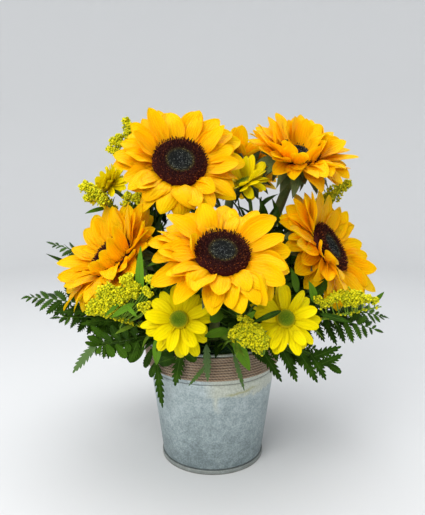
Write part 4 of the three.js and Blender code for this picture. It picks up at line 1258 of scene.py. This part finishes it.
def floret_places(line, fat, count, number, rng):
    """Where florets sit in a plume: their share of the spray, outward direction, seat and facing."""
    spot = rng.uniform(0, 1, count)
    lumps = 1 + 0.16 * np.sin(7 * spot * np.pi + number)
    share = GOLDENROD["begins"] + (1 - GOLDENROD["begins"]) * spot
    way = heading(line, share)
    turn = rng.uniform(0, 2 * np.pi, count)
    out = outwards(way, turn)
    depth = 0.45 + 0.55 * rng.uniform(0, 1, count) ** 0.45
    away = fat * 1.04 * swelling(spot, 1.08) * lumps * depth * (1 + 0.12 * np.sin(3 * turn))
    face = unit(out + 0.35 * way + [0, 0, 0.25] + 0.45 * rng.normal(0, 1, (count, 3)))
    return share, out, line(share) + out * away[:, None], face


def plume_skins(line, fat, seat, face, rng):
    """A plume's florets over its solid core."""
    count = len(seat)
    size = rng.uniform(0.8, 1.2, count)
    florets = spikes(seat - face, face, 2.4 * size, 1.15 * size, FLORET, 6, 0.40,
                     tint=rng.uniform(0, 1, count) ** 2.2, flower=np.ones(count))
    share = np.linspace(0, 1, 24)
    core = line(GOLDENROD["begins"] + (1 - GOLDENROD["begins"]) * share)
    return [florets, tube(core, swelling(share, 1.0) * fat * 0.62, 12, share=0.42, tint=0.35, flower=1.0)]


def buds_and_twigs(line, share, out, seat, face, rng):
    """Buds at a third of the florets' places, and twigs that reach some of the places from the curve."""
    pick = rng.integers(0, len(seat), len(seat) // 3)
    way = face[pick] + 0.4 * rng.normal(0, 1, (len(pick), 3))
    buds = spikes(seat[pick] - out[pick] * 1.5, way, 2.4, 0.6, BUD, 5, 0.0,
                  tint=rng.uniform(0.4, 1, len(pick)), flower=np.full(len(pick), 0.7))
    pick = rng.integers(0, len(seat), GOLDENROD["twigs"])
    base = line(np.maximum(share[pick] - 0.05, 0.3))
    reach = seat[pick] - base
    twigs = spikes(base, reach, np.linalg.norm(reach, axis=1), 0.4, [(0, 1), (1, 0.5)], 4, 0.0,
                   tint=np.full(len(pick), 0.5))
    return [buds, twigs]


def spray_leaves(line, fat, number):
    """A spray's own leaves, each a golden angle round from the last, where they are free of the flowers."""
    count = GOLDENROD["leaves"]
    share = np.linspace(0.34, 0.80, count)
    way = heading(line, share)
    out = outwards(way, np.arange(count) * GOLDEN + 2 * number)
    length = np.interp(share, [0.34, 0.55, 0.8], [17, 20, fat + 6])
    tips = line(share) + unit(way + out) * length[:, None]
    free = clear_of_flowers(tips) | (share > 0.6)
    return leaflets(line(share)[free], (way + out)[free], way[free], length[free], 4.2, 320 + number,
                    plain=True, curl=-0.5)


for number in range(1, 8):
    rng = np.random.default_rng(300 + number)
    rings = rings_of(f"goldenrod_{number}")
    centres = rings.mean(1)
    measured = np.linalg.norm(rings - centres[:, None], axis=2).mean(1)
    line = centre_line(np.arange(len(rings)) / GOLDENROD["steps"], centres)
    fat = max(measured) * PLUME_SHARE.get(number, 0.9)
    whole = np.linalg.norm(np.diff(line(np.linspace(0, 1, 60)), axis=0), axis=1).sum()
    plume_length = (1 - GOLDENROD["begins"]) * whole
    count = int(GOLDENROD["florets"] * (fat * plume_length) ** 0.5 * (fat / 8) ** 0.5) + int(fat * 26)
    share, out, seat, face = floret_places(line, fat, count, number, rng)
    skins = [tube(line(np.linspace(0, 1, 40)), 1.5 - 1.0 * np.linspace(0, 1, 40) ** 1.5, 8, tint=0.5)]
    skins += plume_skins(line, fat, seat, face, rng)
    for place, radius in CLUSTERS.get(number, []):
        skins += cluster(RIM + place, radius, line, rng)
    skins += buds_and_twigs(line, share, out, seat, face, rng)
    skins.append(spray_leaves(line, fat, number))
    build(f"goldenrod_spray_{number}", skins, goldenrod_finish, [f"goldenrod_{number}"])

# %% [markdown]
# ## Fern fronds
# Leatherleaf fern is glossy, dark and stiff. Each frond has a thin rachis with leaflets in pairs, and each
# leaflet is toothed like a saw and leans forwards. The outline of a leaflet is a smooth lance shape times a
# saw wave, and the sweep of the blade helper points its teeth to the tip. A frond near the front is turned
# about its own rachis, so that it hangs over the rim and shows its face. Shorter fronds spring from the same
# foot on both sides, as a florist pushes them in by twos and threes. Fronds 2, 3, 4 and 10 are single blades
# listed one by one, each on a thin curve from the same foot, and frond 1 has two such blades beside it.

# %% Fern finish
frond = Finish("fern", {"Roughness": 0.5, "Specular IOR Level": 0.14, "Specular Tint": (0.6, 0.9, 0.2, 1)})
along, across, tint = frond.carried("along"), frond.carried("across"), frond.carried("tint")
frond_colour = frond.ramp(frond.grain(9, 4.0), (0.3, (0.009, 0.028, 0.002)), (0.55, (0.018, 0.052, 0.003)),
                          (0.75, (0.038, 0.092, 0.005)))
frond_colour = frond.mix(frond.level(tint, (0.3, 0), (0.6, 0.75)), frond_colour, (0.050, 0.125, 0.006))
frond_colour = frond.mix(frond.level(tint, (0.68, 0), (0.9, 0.85)), frond_colour, (0.095, 0.155, 0.060))
frond_colour = frond.mix(frond.level(frond.math("ABSOLUTE", across), (0.0, 0.5), (0.12, 0)), frond_colour,
                         (0.065, 0.125, 0.020))
frond_colour = frond.mix(frond.times(frond.carried("under"), 0.4), frond_colour, (0.060, 0.115, 0.035))
slant = frond.times(frond.math("ABSOLUTE", across), -8.0)
side_vein = frond.math("SINE", frond.scaled(along, 38.0, slant))
frond_height = frond.scaled(side_vein, 0.35, frond.grain(0.6, 2.0))
fern_finish = frond.wear(frond_colour, None, frond_height, 0.14)
print("fern finish ready")

# %% Fern fronds
TEETH = 7
PINNA_SHARE = np.append((np.repeat(np.arange(TEETH), 3) + np.tile([0, 0.5, 0.9], TEETH)) / TEETH, 1)
PINNA_OUTLINE = np.sin(np.pi * (0.15 + 0.85 * PINNA_SHARE**0.85)) ** 0.8 \
    * (0.50 + 0.50 * np.append(np.tile([0, 0.70, 1.0], TEETH), 0)) + 0.015
LOBED_OUTLINE = np.sin(np.pi * (0.10 + 0.86 * PINNA_SHARE**1.35)) ** 0.7 \
    * (0.86 + 0.14 * np.append(np.tile([0, 1.0, 0.8], TEETH), 0)) + 0.015
PINNA_KEPT = np.arange(len(PINNA_SHARE)) % 3 != 1  # the stations kept on leaflets that come in hundreds
FERN = {"bare": 0.16, "pairs": 13, "fewer_pairs": 10, "rachis": 1.15}
# For each frond: how far it is turned about its rachis in degrees, its share of the plain length (none if its
# leaflets are all set by hand), and its shorter companions. Each of those has the degrees it is swung round
# the bucket, its share of the length, its extra turn and its lift in degrees.
FERN_LAY = {
    1: (26, 0.97, [(13, 0.80, 10, -3), (-16, 0.74, 30, -7)]),
    2: (34, 0, [(-16, 0.78, 10, 2)]),
    3: (20, 0, []),
    4: (-34, 0, [(16, 0.66, -10, 2)]),
    5: (-26, 0.98, [(13, 0.86, -10, 4), (-13, 0.9, -24, -2)]),
    6: (16, 1.0, [(12, 0.8, 0, -8), (-14, 0.8, 14, 4)]),
    7: (-10, 1.0, [(-17, 0.9, -10, -4), (16, 0.84, 0, 4)]),
    8: (0, 1.0, [(22, 0.9, 10, 2), (-22, 0.86, -10, 0)]),
    9: (10, 1.0, [(-20, 0.88, 0, -3), (20, 0.9, 10, 3)]),
    10: (0, 0, []),
}


def frond_skins(line, spread, size, seed, turn, pairs):
    """A frond along a curve: rachis, pairs of toothed leaflets and the end leaflet.

    spread is shares of the curve and how far the leaflets reach to the side there, which is taken times size.
    turn rolls the leaflets about the curve, in degrees.
    """
    rng = np.random.default_rng(seed)
    station = (np.repeat(np.arange(pairs), 2) + np.tile([0.2, 0.6], pairs)) / (pairs + 0.6)
    share = FERN["bare"] + (1 - FERN["bare"]) * (1 - (1 - station) ** 1.35)
    sign = np.tile([1.0, -1.0], pairs)
    share, sign = np.append(share, 0.985), np.append(sign, 0.0)
    at, way = line(share), heading(line, share)
    up = unit(np.cross(np.cross((0, 0, 1), line(0.0) - line(1.0)), way))
    side = np.cross(way, up)
    roll = np.radians(turn)
    side, up = side * np.cos(roll) + up * np.sin(roll), up * np.cos(roll) - side * np.sin(roll)
    count = len(share)
    widest = 3.5 + 62 * (1 - share) ** 0.8
    wanted = np.clip(np.interp(share, *spread) * size, 5.2, widest) * rng.uniform(0.9, 1.08, count)
    direction = side * sign[:, None] + way * (0.42 + 0.35 * share**2)[:, None] \
        - up * (0.12 + rng.normal(0, 0.09, count))[:, None]
    direction[-1] = way[-1]
    length = np.where(sign == 0, 9.0, wanted * 1.16)
    width = np.where(sign == 0, 4.0, np.clip(length * 0.48, 3.4, 9.8))
    free = clear_of_flowers(at + unit(direction) * length[:, None] * 0.8) & clear_of_flowers(at)
    free |= at[:, 2] < RIM[2] + 2
    rings, values = blades(PINNA_SHARE[PINNA_KEPT], PINNA_OUTLINE[PINNA_KEPT], length, width, np.radians(6),
                           np.radians(-18 + rng.normal(0, 14, count)), cup=rng.normal(-0.05, 0.1, count),
                           roll=np.radians(rng.normal(0, 10, count)),
                           twist=np.radians(rng.normal(0, 16, count)), groove=-0.2, ribs=1, sweep=0.62,
                           thickness=0.32, across=3, tint=rng.uniform(0, 0.6, count))
    values = {key: value[free] if np.ndim(value) == 3 and len(value) == count else value
              for key, value in values.items()}
    leaves = skin(placed(rings, at, aimed(direction, up))[free], **values)
    t = np.linspace(0, 1, 50)
    rachis = tube(line(t), FERN["rachis"] * (1 - 0.75 * t), 8, across=0.0, tint=0.55)
    return [rachis, leaves]


def swung(line, degrees, size, lift):
    """A frond's curve turned about the upright through its foot, made shorter, and tipped up."""
    foot, tip = line(0.0), line(1.0)
    cosine, sine = math.cos(math.radians(degrees)), math.sin(math.radians(degrees))
    spin = np.array([[cosine, sine, 0], [-sine, cosine, 0], [0, 0, 1]])
    outward = unit((tip - foot) * [1, 1, 0]) @ spin
    rise = math.tan(math.radians(lift))

    def curve(share):
        reach = (line(share) - foot) @ spin * size
        return foot + reach + np.array([0, 0, 1]) * rise * (reach @ outward)[..., None]

    return curve


def branches(foot, rows):
    """Thin curves from a foot over the rim to the root of each row's blade."""
    for row in rows:
        root = RIM + row[1]
        over = unit(root * [1, 1, 0]) * 58 + RIM + [0, 0, 9 + 0.25 * max(0, root[2] - RIM[2])]
        yield bezier([foot, foot * [1, 1, 0] + over * [0, 0, 1], over, root], np.linspace(0, 1, 16))


def placed_blades(rows, seed):
    """Single leaves listed one by one: (kind, root, tip, width, tint), measured from the middle of the rim.
    """
    made = []
    for index, (kind, root, tip, width, shade) in enumerate(rows):
        root, tip = RIM + root, RIM + tip
        outward = 0.35 * unit(root * [1, 1, 0]) + [0, -0.9, 0.4]
        length = np.linalg.norm(tip - root) * 1.03
        if kind in FERN_KINDS:
            outline, sweep = FERN_KINDS[kind]
            rings, values = blades(PINNA_SHARE, outline, length, width, 0.18, -0.34, cup=-0.04, groove=-0.2,
                                   ribs=1, sweep=sweep, thickness=0.34, across=5, tint=shade)
            made.append(skin(placed(rings, root[None], aimed((tip - root)[None], outward)), **values))
        else:
            made.append(leaflets(root[None], (tip - root)[None], outward, length, width, seed + index,
                                 outline=LEAF_KINDS[kind], lift=0.2, curl=-0.38, cup=0.12, tint=shade))
    return made


FERN_KINDS = {"toothed": (PINNA_OUTLINE, 0.62), "lobed": (LOBED_OUTLINE, 0.2)}  # outline and sweep
BROAD_OUTLINE = np.sin(np.pi * (0.10 + 0.90 * LEAF_SHARE**1.1)) ** 0.6 + 0.015
LEAF_KINDS = {"plain": LEAF_OUTLINE, "broad": BROAD_OUTLINE}
print("fern helpers ready, teeth on a leaflet:", TEETH)

# %% The ten fronds
PLACED_FRONDS = {
    1: [("toothed", (-76, -50, 29), (-110, -62, 26), 10, 0.15),
        ("toothed", (-96, -46, 33), (-133, -52, 34), 8.5, 0.15)],
    2: [("toothed", (-89, -70, 17), (-99, -76, 29), 7.5, 0.5),
        ("lobed", (-92, -70, 12), (-102, -76, 20), 5, 0.45),
        ("lobed", (-96, -70, 10), (-104, -76, 15), 4, 0.5), ("lobed", (-93, -70, 10), (-94, -76, 5), 5, 0.6),
        ("lobed", (-88, -70, 11), (-81, -76, 3), 7, 0.5), ("lobed", (-80, -70, 11), (-71, -76, 2), 7.5, 0.5),
        ("lobed", (-72, -70, 13), (-68, -76, 7), 6, 0.4),
        ("toothed", (-62, -70, 14), (-68, -76, -2), 11.5, 0.35),
        ("lobed", (-77, -70, 14), (-82, -76, 29), 7.5, 0.3),
        ("lobed", (-84, -70, 13), (-89, -76, 23), 6, 0.4),
        ("lobed", (-71, -70, 16), (-74, -76, 32), 8, 0.25),
        ("toothed", (-64, -70, 17), (-65, -76, 34), 8, 0.15),
        ("toothed", (-97, -70, 11), (-115, -76, -11), 9.5, 0.95)],
    3: [("lobed", (-52, -52, 1), (-59, -51, -16), 7, 0.35),
        ("lobed", (-50, -52, -12), (-54, -51, -25), 6.5, 0.3),
        ("toothed", (-48, -52, -13), (-44, -51, -53), 9, 0.22),
        ("lobed", (-46, -52, 2), (-31, -51, -7), 8, 0.15),
        ("lobed", (-48, -52, -7), (-34, -51, -13), 6.5, 0.2)],
    4: [("toothed", (41, -64, 5), (58, -68, -22), 9.8, 0.15),
        ("toothed", (58, -78, 8), (69, -80, -17), 10.2, 0.2),
        ("toothed", (71, -78, 7), (85, -84, -16), 10.2, 0.2),
        ("toothed", (80, -78, 6), (92, -84, -14), 9.0, 0.25),
        ("lobed", (92, -80, -1), (104, -84, -8), 6.1, 0.25),
        ("toothed", (86, -79, -4), (104, -86, 8), 9.8, 0.3),
        ("toothed", (78, -77, 1), (103, -84, 14), 9.8, 0.25),
        ("toothed", (33, -66, 5), (47, -65, -8), 7.4, 0.15)],
    10: [("toothed", (-26, -65, 3), (-32, -62, -28), 11.5, 0.2),
         ("toothed", (-5, -71, 11), (-4, -69, -21), 8, 1.0),
         ("toothed", (-5, -70, -7), (-20, -65, -27), 4.5, 0.8),
         ("toothed", (18, -68, 1), (27, -63, -32), 5, 0.85)],
}
# A plain frond's rings are three on its bare foot, then a wide and a narrow one for each of its teeth.
PLAIN_TEETH = 7
ring_share = np.concatenate([[0, 0.1, 0.2], 0.26 + 0.74 * np.repeat(np.arange(PLAIN_TEETH), 2) / PLAIN_TEETH
                             + 0.74 / PLAIN_TEETH * np.tile([0.5, 1.0], PLAIN_TEETH)])
narrow = np.append([True] * 3, np.tile([False, True], PLAIN_TEETH))

for number in range(1, 11):
    rings = rings_of(f"fern_{number}")
    reach = np.linalg.norm(rings[:, :, None] - rings[:, None], axis=3).max((1, 2)) / 2
    spread = np.append(0.1, ring_share[~narrow]), np.append(0.85 * reach[3], reach[~narrow])
    line = centre_line(ring_share[narrow], rings.mean(1)[narrow])
    turn, main_size, companions = FERN_LAY[number]
    skins = []
    if main_size:
        skins += frond_skins(swung(line, 0, main_size, 0), spread, 1.0, 400 + number, turn, FERN["pairs"])
    for index, (degrees, size, more, lift) in enumerate(companions):
        skins += frond_skins(swung(line, degrees, size, lift), spread, 0.5 + 0.5 * size,
                             430 + 10 * number + index, turn + more, FERN["fewer_pairs"])
    rows = PLACED_FRONDS.get(number, [])
    skins += placed_blades(rows, 0)
    if rows and not main_size:
        skins += [tube(branch, 0.8, 6, across=0.0, tint=0.55) for branch in branches(line(0.0), rows)]
    build(f"fern_frond_{number}", skins, fern_finish, [f"fern_{number}"])

# %% [markdown]
# ## Leafy sprigs
# Softer sprigs fill the middle and hide the stems. Their leaves are found from the plain solids: the points
# farthest from a sprig's own curve are its leaf tips, and each leaf joins the curve where the plain leaf did.
# Many more leaves on short stalks are added between them wherever there is free room behind the flowers,
# because a real sprig is far fuller than its plain solid. A few leaves near the front are listed one by one.

# %% Leaf finish
leaf = Finish("leaf", {"Roughness": 0.5, "Specular IOR Level": 0.16, "Specular Tint": (0.6, 0.9, 0.2, 1)})
along, across, tint = leaf.carried("along"), leaf.carried("across"), leaf.carried("tint")
leaf_colour = leaf.ramp(leaf.grain(10, 4.0), (0.3, (0.010, 0.032, 0.003)), (0.55, (0.020, 0.056, 0.004)),
                        (0.75, (0.040, 0.095, 0.006)))
leaf_colour = leaf.mix(leaf.level(tint, (0.35, 0), (0.95, 0.95)), leaf_colour, (0.115, 0.260, 0.014))
leaf_colour = leaf.mix(leaf.level(leaf.math("ABSOLUTE", across), (0.0, 0.7), (0.10, 0)), leaf_colour,
                       (0.075, 0.14, 0.020))
leaf_colour = leaf.mix(leaf.times(leaf.carried("under"), 0.4), leaf_colour, (0.060, 0.115, 0.030))
slant = leaf.times(leaf.math("ABSOLUTE", across), -16.0)
leaf_vein = leaf.math("SINE", leaf.scaled(along, 60.0, slant))
leaf_height = leaf.scaled(leaf_vein, 0.4, leaf.grain(0.7, 3.0))
leaf_finish = leaf.wear(leaf_colour, None, leaf_height, 0.18)
print("leaf finish ready")

# %% Sprig helpers
LEAF_PITCH = 0.58  # how far forwards a plain leaf leans: forward reach over outward reach


def leaf_tips(node, line):
    """Tips of the plain leaves: the farthest point from the curve, then the next one apart, and so on."""
    points, _ = cad_mesh(node)
    curve = line(np.linspace(0, 1, 200))
    away = np.linalg.norm(points[:, None] - curve, axis=2).min(1)
    left = points[away > 0.55 * away.max()]
    order = away[away > 0.55 * away.max()]
    tips = []
    while len(left):
        tip = left[np.argmax(order)]
        tips.append(tip)
        far = np.linalg.norm(left - tip, axis=1) > 9
        left, order = left[far], order[far]
    return np.array(tips)


def leaf_root(tip, line):
    """Where on the curve a leaf starts: where the way to its tip leans forwards by the plain leaf's pitch."""
    share = np.linspace(0.35, 0.97, 120)
    at, way = line(share), heading(line, share)
    reach = tip - at
    forward = (reach * way).sum(1)
    outward = np.linalg.norm(reach - forward[:, None] * way, axis=1)
    best = np.argmin(abs(forward / outward - LEAF_PITCH))
    return at[best], way[best]


def filling(points, line, seed):
    """A leaf at each point that is free, looking outwards, on a thin stalk from the curve a little below."""
    rng = np.random.default_rng(seed)
    count = len(points)
    curve = line(np.linspace(0.1, 1, 90))
    start = curve[np.argmin(np.linalg.norm(points[:, None] - [0, 0, 16] - curve, axis=2), 1)]
    reach = points - start
    out = unit((points - RIM) * [1, 1, 0.5])
    way = unit(0.9 * unit(reach) + 0.8 * out + rng.normal(0, 0.35, (count, 3)))
    length = rng.uniform(22, 36, count)
    free = np.ones(count, bool)
    for part in (0.0, 0.5, 1.0):
        free &= clear_of_flowers(points + way * (part * length)[:, None])
    points, start, reach, way, length = (each[free] for each in (points, start, reach, way, length))
    count = len(points)
    stalks = spikes(start, reach, np.linalg.norm(reach, axis=1), 0.5, [(0, 1), (1, 0.8)], 5, 0.0,
                    tint=np.full(count, 0.6))
    upper = unit((points - RIM) * [1, 1, 0]) * 0.5 + [0, -0.2, 0.7]
    leaves = leaflets(points, way, upper, length, rng.uniform(6, 9.5, count), seed + 1, plain=True, lift=0.2,
                      curl=-0.6, cup=0.15, twist=rng.normal(0, 0.3, count), tint=rng.uniform(0, 0.5, count))
    print("leaves added:", count)
    return [stalks, leaves]


print("sprig helpers ready")

# %% The five sprigs
PLACED_LEAVES = {
    1: [("plain", (-43, -84, 24), (-46, -76, -3), 8, 0.85), ("broad", (-30, -65, 6), (-45, -60, 1), 10, 0.1),
        ("broad", (-32, -63, -3), (-46, -56, -10), 9.5, 0.1),
        ("broad", (-23, -67, 4), (-13, -70, -4), 8, 0.1), ("broad", (-60, -66, 15), (-68, -74, -3), 16, 0.25),
        ("broad", (-71, -64, 29), (-90, -74, 32), 10, 0.2),
        ("plain", (-56, -92, 51), (-54, -98, 95), 6.5, 0.95),
        ("plain", (-60, -100, 54), (-76, -108, 45), 5, 0.8),
        ("plain", (-66, -101, 53), (-56, -108, 45), 3.5, 0.9),
        ("plain", (-70, -101, 55), (-82, -108, 45), 3.5, 0.7)],
    2: [("plain", (52, 4, 96), (42, 0, 131), 8.5, 0.5), ("plain", (63, 6, 101), (55, 4, 127), 5, 0.5)],
    3: [("plain", (17, -82, 21), (30, -76, -8), 9.5, 0.85),
        ("plain", (20, -112, 46), (21, -116, 62), 7.5, 0.6),
        ("plain", (24, -116, 45), (32, -122, 55), 5, 0.9),
        ("plain", (12, -104, 34), (-7, -112, 32), 6.5, 0.7),
        ("broad", (7, -104, 48), (-2, -112, 43), 9, 0.6), ("plain", (50, -118, 53), (29, -127, 47), 4, 0.2)],
    4: [("plain", (84, -70, 47), (77, -76, 67), 6.5, 0.95), ("plain", (84, -60, 47), (95, -62, 67), 9, 0.45),
        ("plain", (69, -72, 56), (62, -78, 78), 6, 0.6), ("plain", (86, -84, 41), (110, -92, 36), 5, 0.25),
        ("plain", (131, -66, 45), (140, -72, 57), 5, 0.7)],
    5: [("plain", (-124, -20, 68), (-147, -30, 81), 3.5, 0.2),
        ("plain", (-96, -4, 119), (-113, -16, 115), 5, 0.7)],
}
# Places for filling leaves are tried in an egg shape with the half sizes reach, round a middle that is
# measured from the middle of the rim, and in_pocket more in each pocket. stalk is how far a leaf may be from
# its sprig's curve.
FILLING = {"leaves": 1000, "middle": (-6, -4, 52), "reach": (86, 84, 64), "stalk": 46, "in_pocket": 14}
# Deep gaps between the flowers that are full of leaves, measured from the middle of the rim.
POCKETS = [(-56, -5, 106), (-52, 10, 114), (-60, -10, 92), (-68, -5, 78), (-58, -15, 71), (67, 10, 95),
           (73, 5, 74), (63, -20, 50), (76, -20, 36)]
rng = np.random.default_rng(540)
spots = rng.normal(0, 1, (FILLING["leaves"], 3))
spots = unit(spots) * rng.uniform(0.2, 1, (FILLING["leaves"], 1)) ** 0.6 * FILLING["reach"]
spots = spots + RIM + FILLING["middle"]
pockets = np.repeat(RIM + POCKETS, FILLING["in_pocket"], 0)
pockets = pockets + rng.normal(0, 8, pockets.shape)
spots = np.concatenate([pockets, spots])
# Each place belongs to the sprig whose curve is nearest. Only in the pockets may it be farther than stalk.
curves = [stalk_line(f"leafy_stem_{number}")(np.linspace(0.1, 1, 60)) for number in range(1, 6)]
way_off = np.stack([np.linalg.norm(spots[:, None] - curve, axis=2).min(1) for curve in curves])
within = (way_off.min(0) < FILLING["stalk"]) | (np.arange(len(spots)) < len(pockets))
nearest = np.where(within, np.argmin(way_off, 0), -1)

for number in range(1, 6):
    node = f"leafy_stem_{number}"
    rng = np.random.default_rng(500 + number)
    line = stalk_line(node)
    tips = leaf_tips(node, line)
    roots, ways = map(np.array, zip(*(leaf_root(tip, line) for tip in tips)))
    free = clear_of_flowers((roots + tips) / 2) & clear_of_flowers(0.2 * roots + 0.8 * tips)
    tips, roots, ways = tips[free], roots[free], ways[free]
    reach = np.linalg.norm(tips - roots, axis=1)
    skins = [tube(line(np.linspace(0, 1, 40)), 1.4 - 0.8 * np.linspace(0, 1, 40) ** 2, 8, tint=0.55)]
    skins.append(leaflets(roots, tips - roots, ways, reach * 1.04, 8.0, 520 + number, lift=0.25, curl=-0.5,
                          cup=0.15, twist=rng.normal(0, 0.2, len(roots)),
                          tint=rng.uniform(0, 0.6, len(roots))))
    skins += filling(spots[nearest == number - 1], line, 540 + number)
    skins += placed_blades(PLACED_LEAVES[number], 560 + 10 * number)
    build(f"sprig_{number}", skins, leaf_finish, [node])
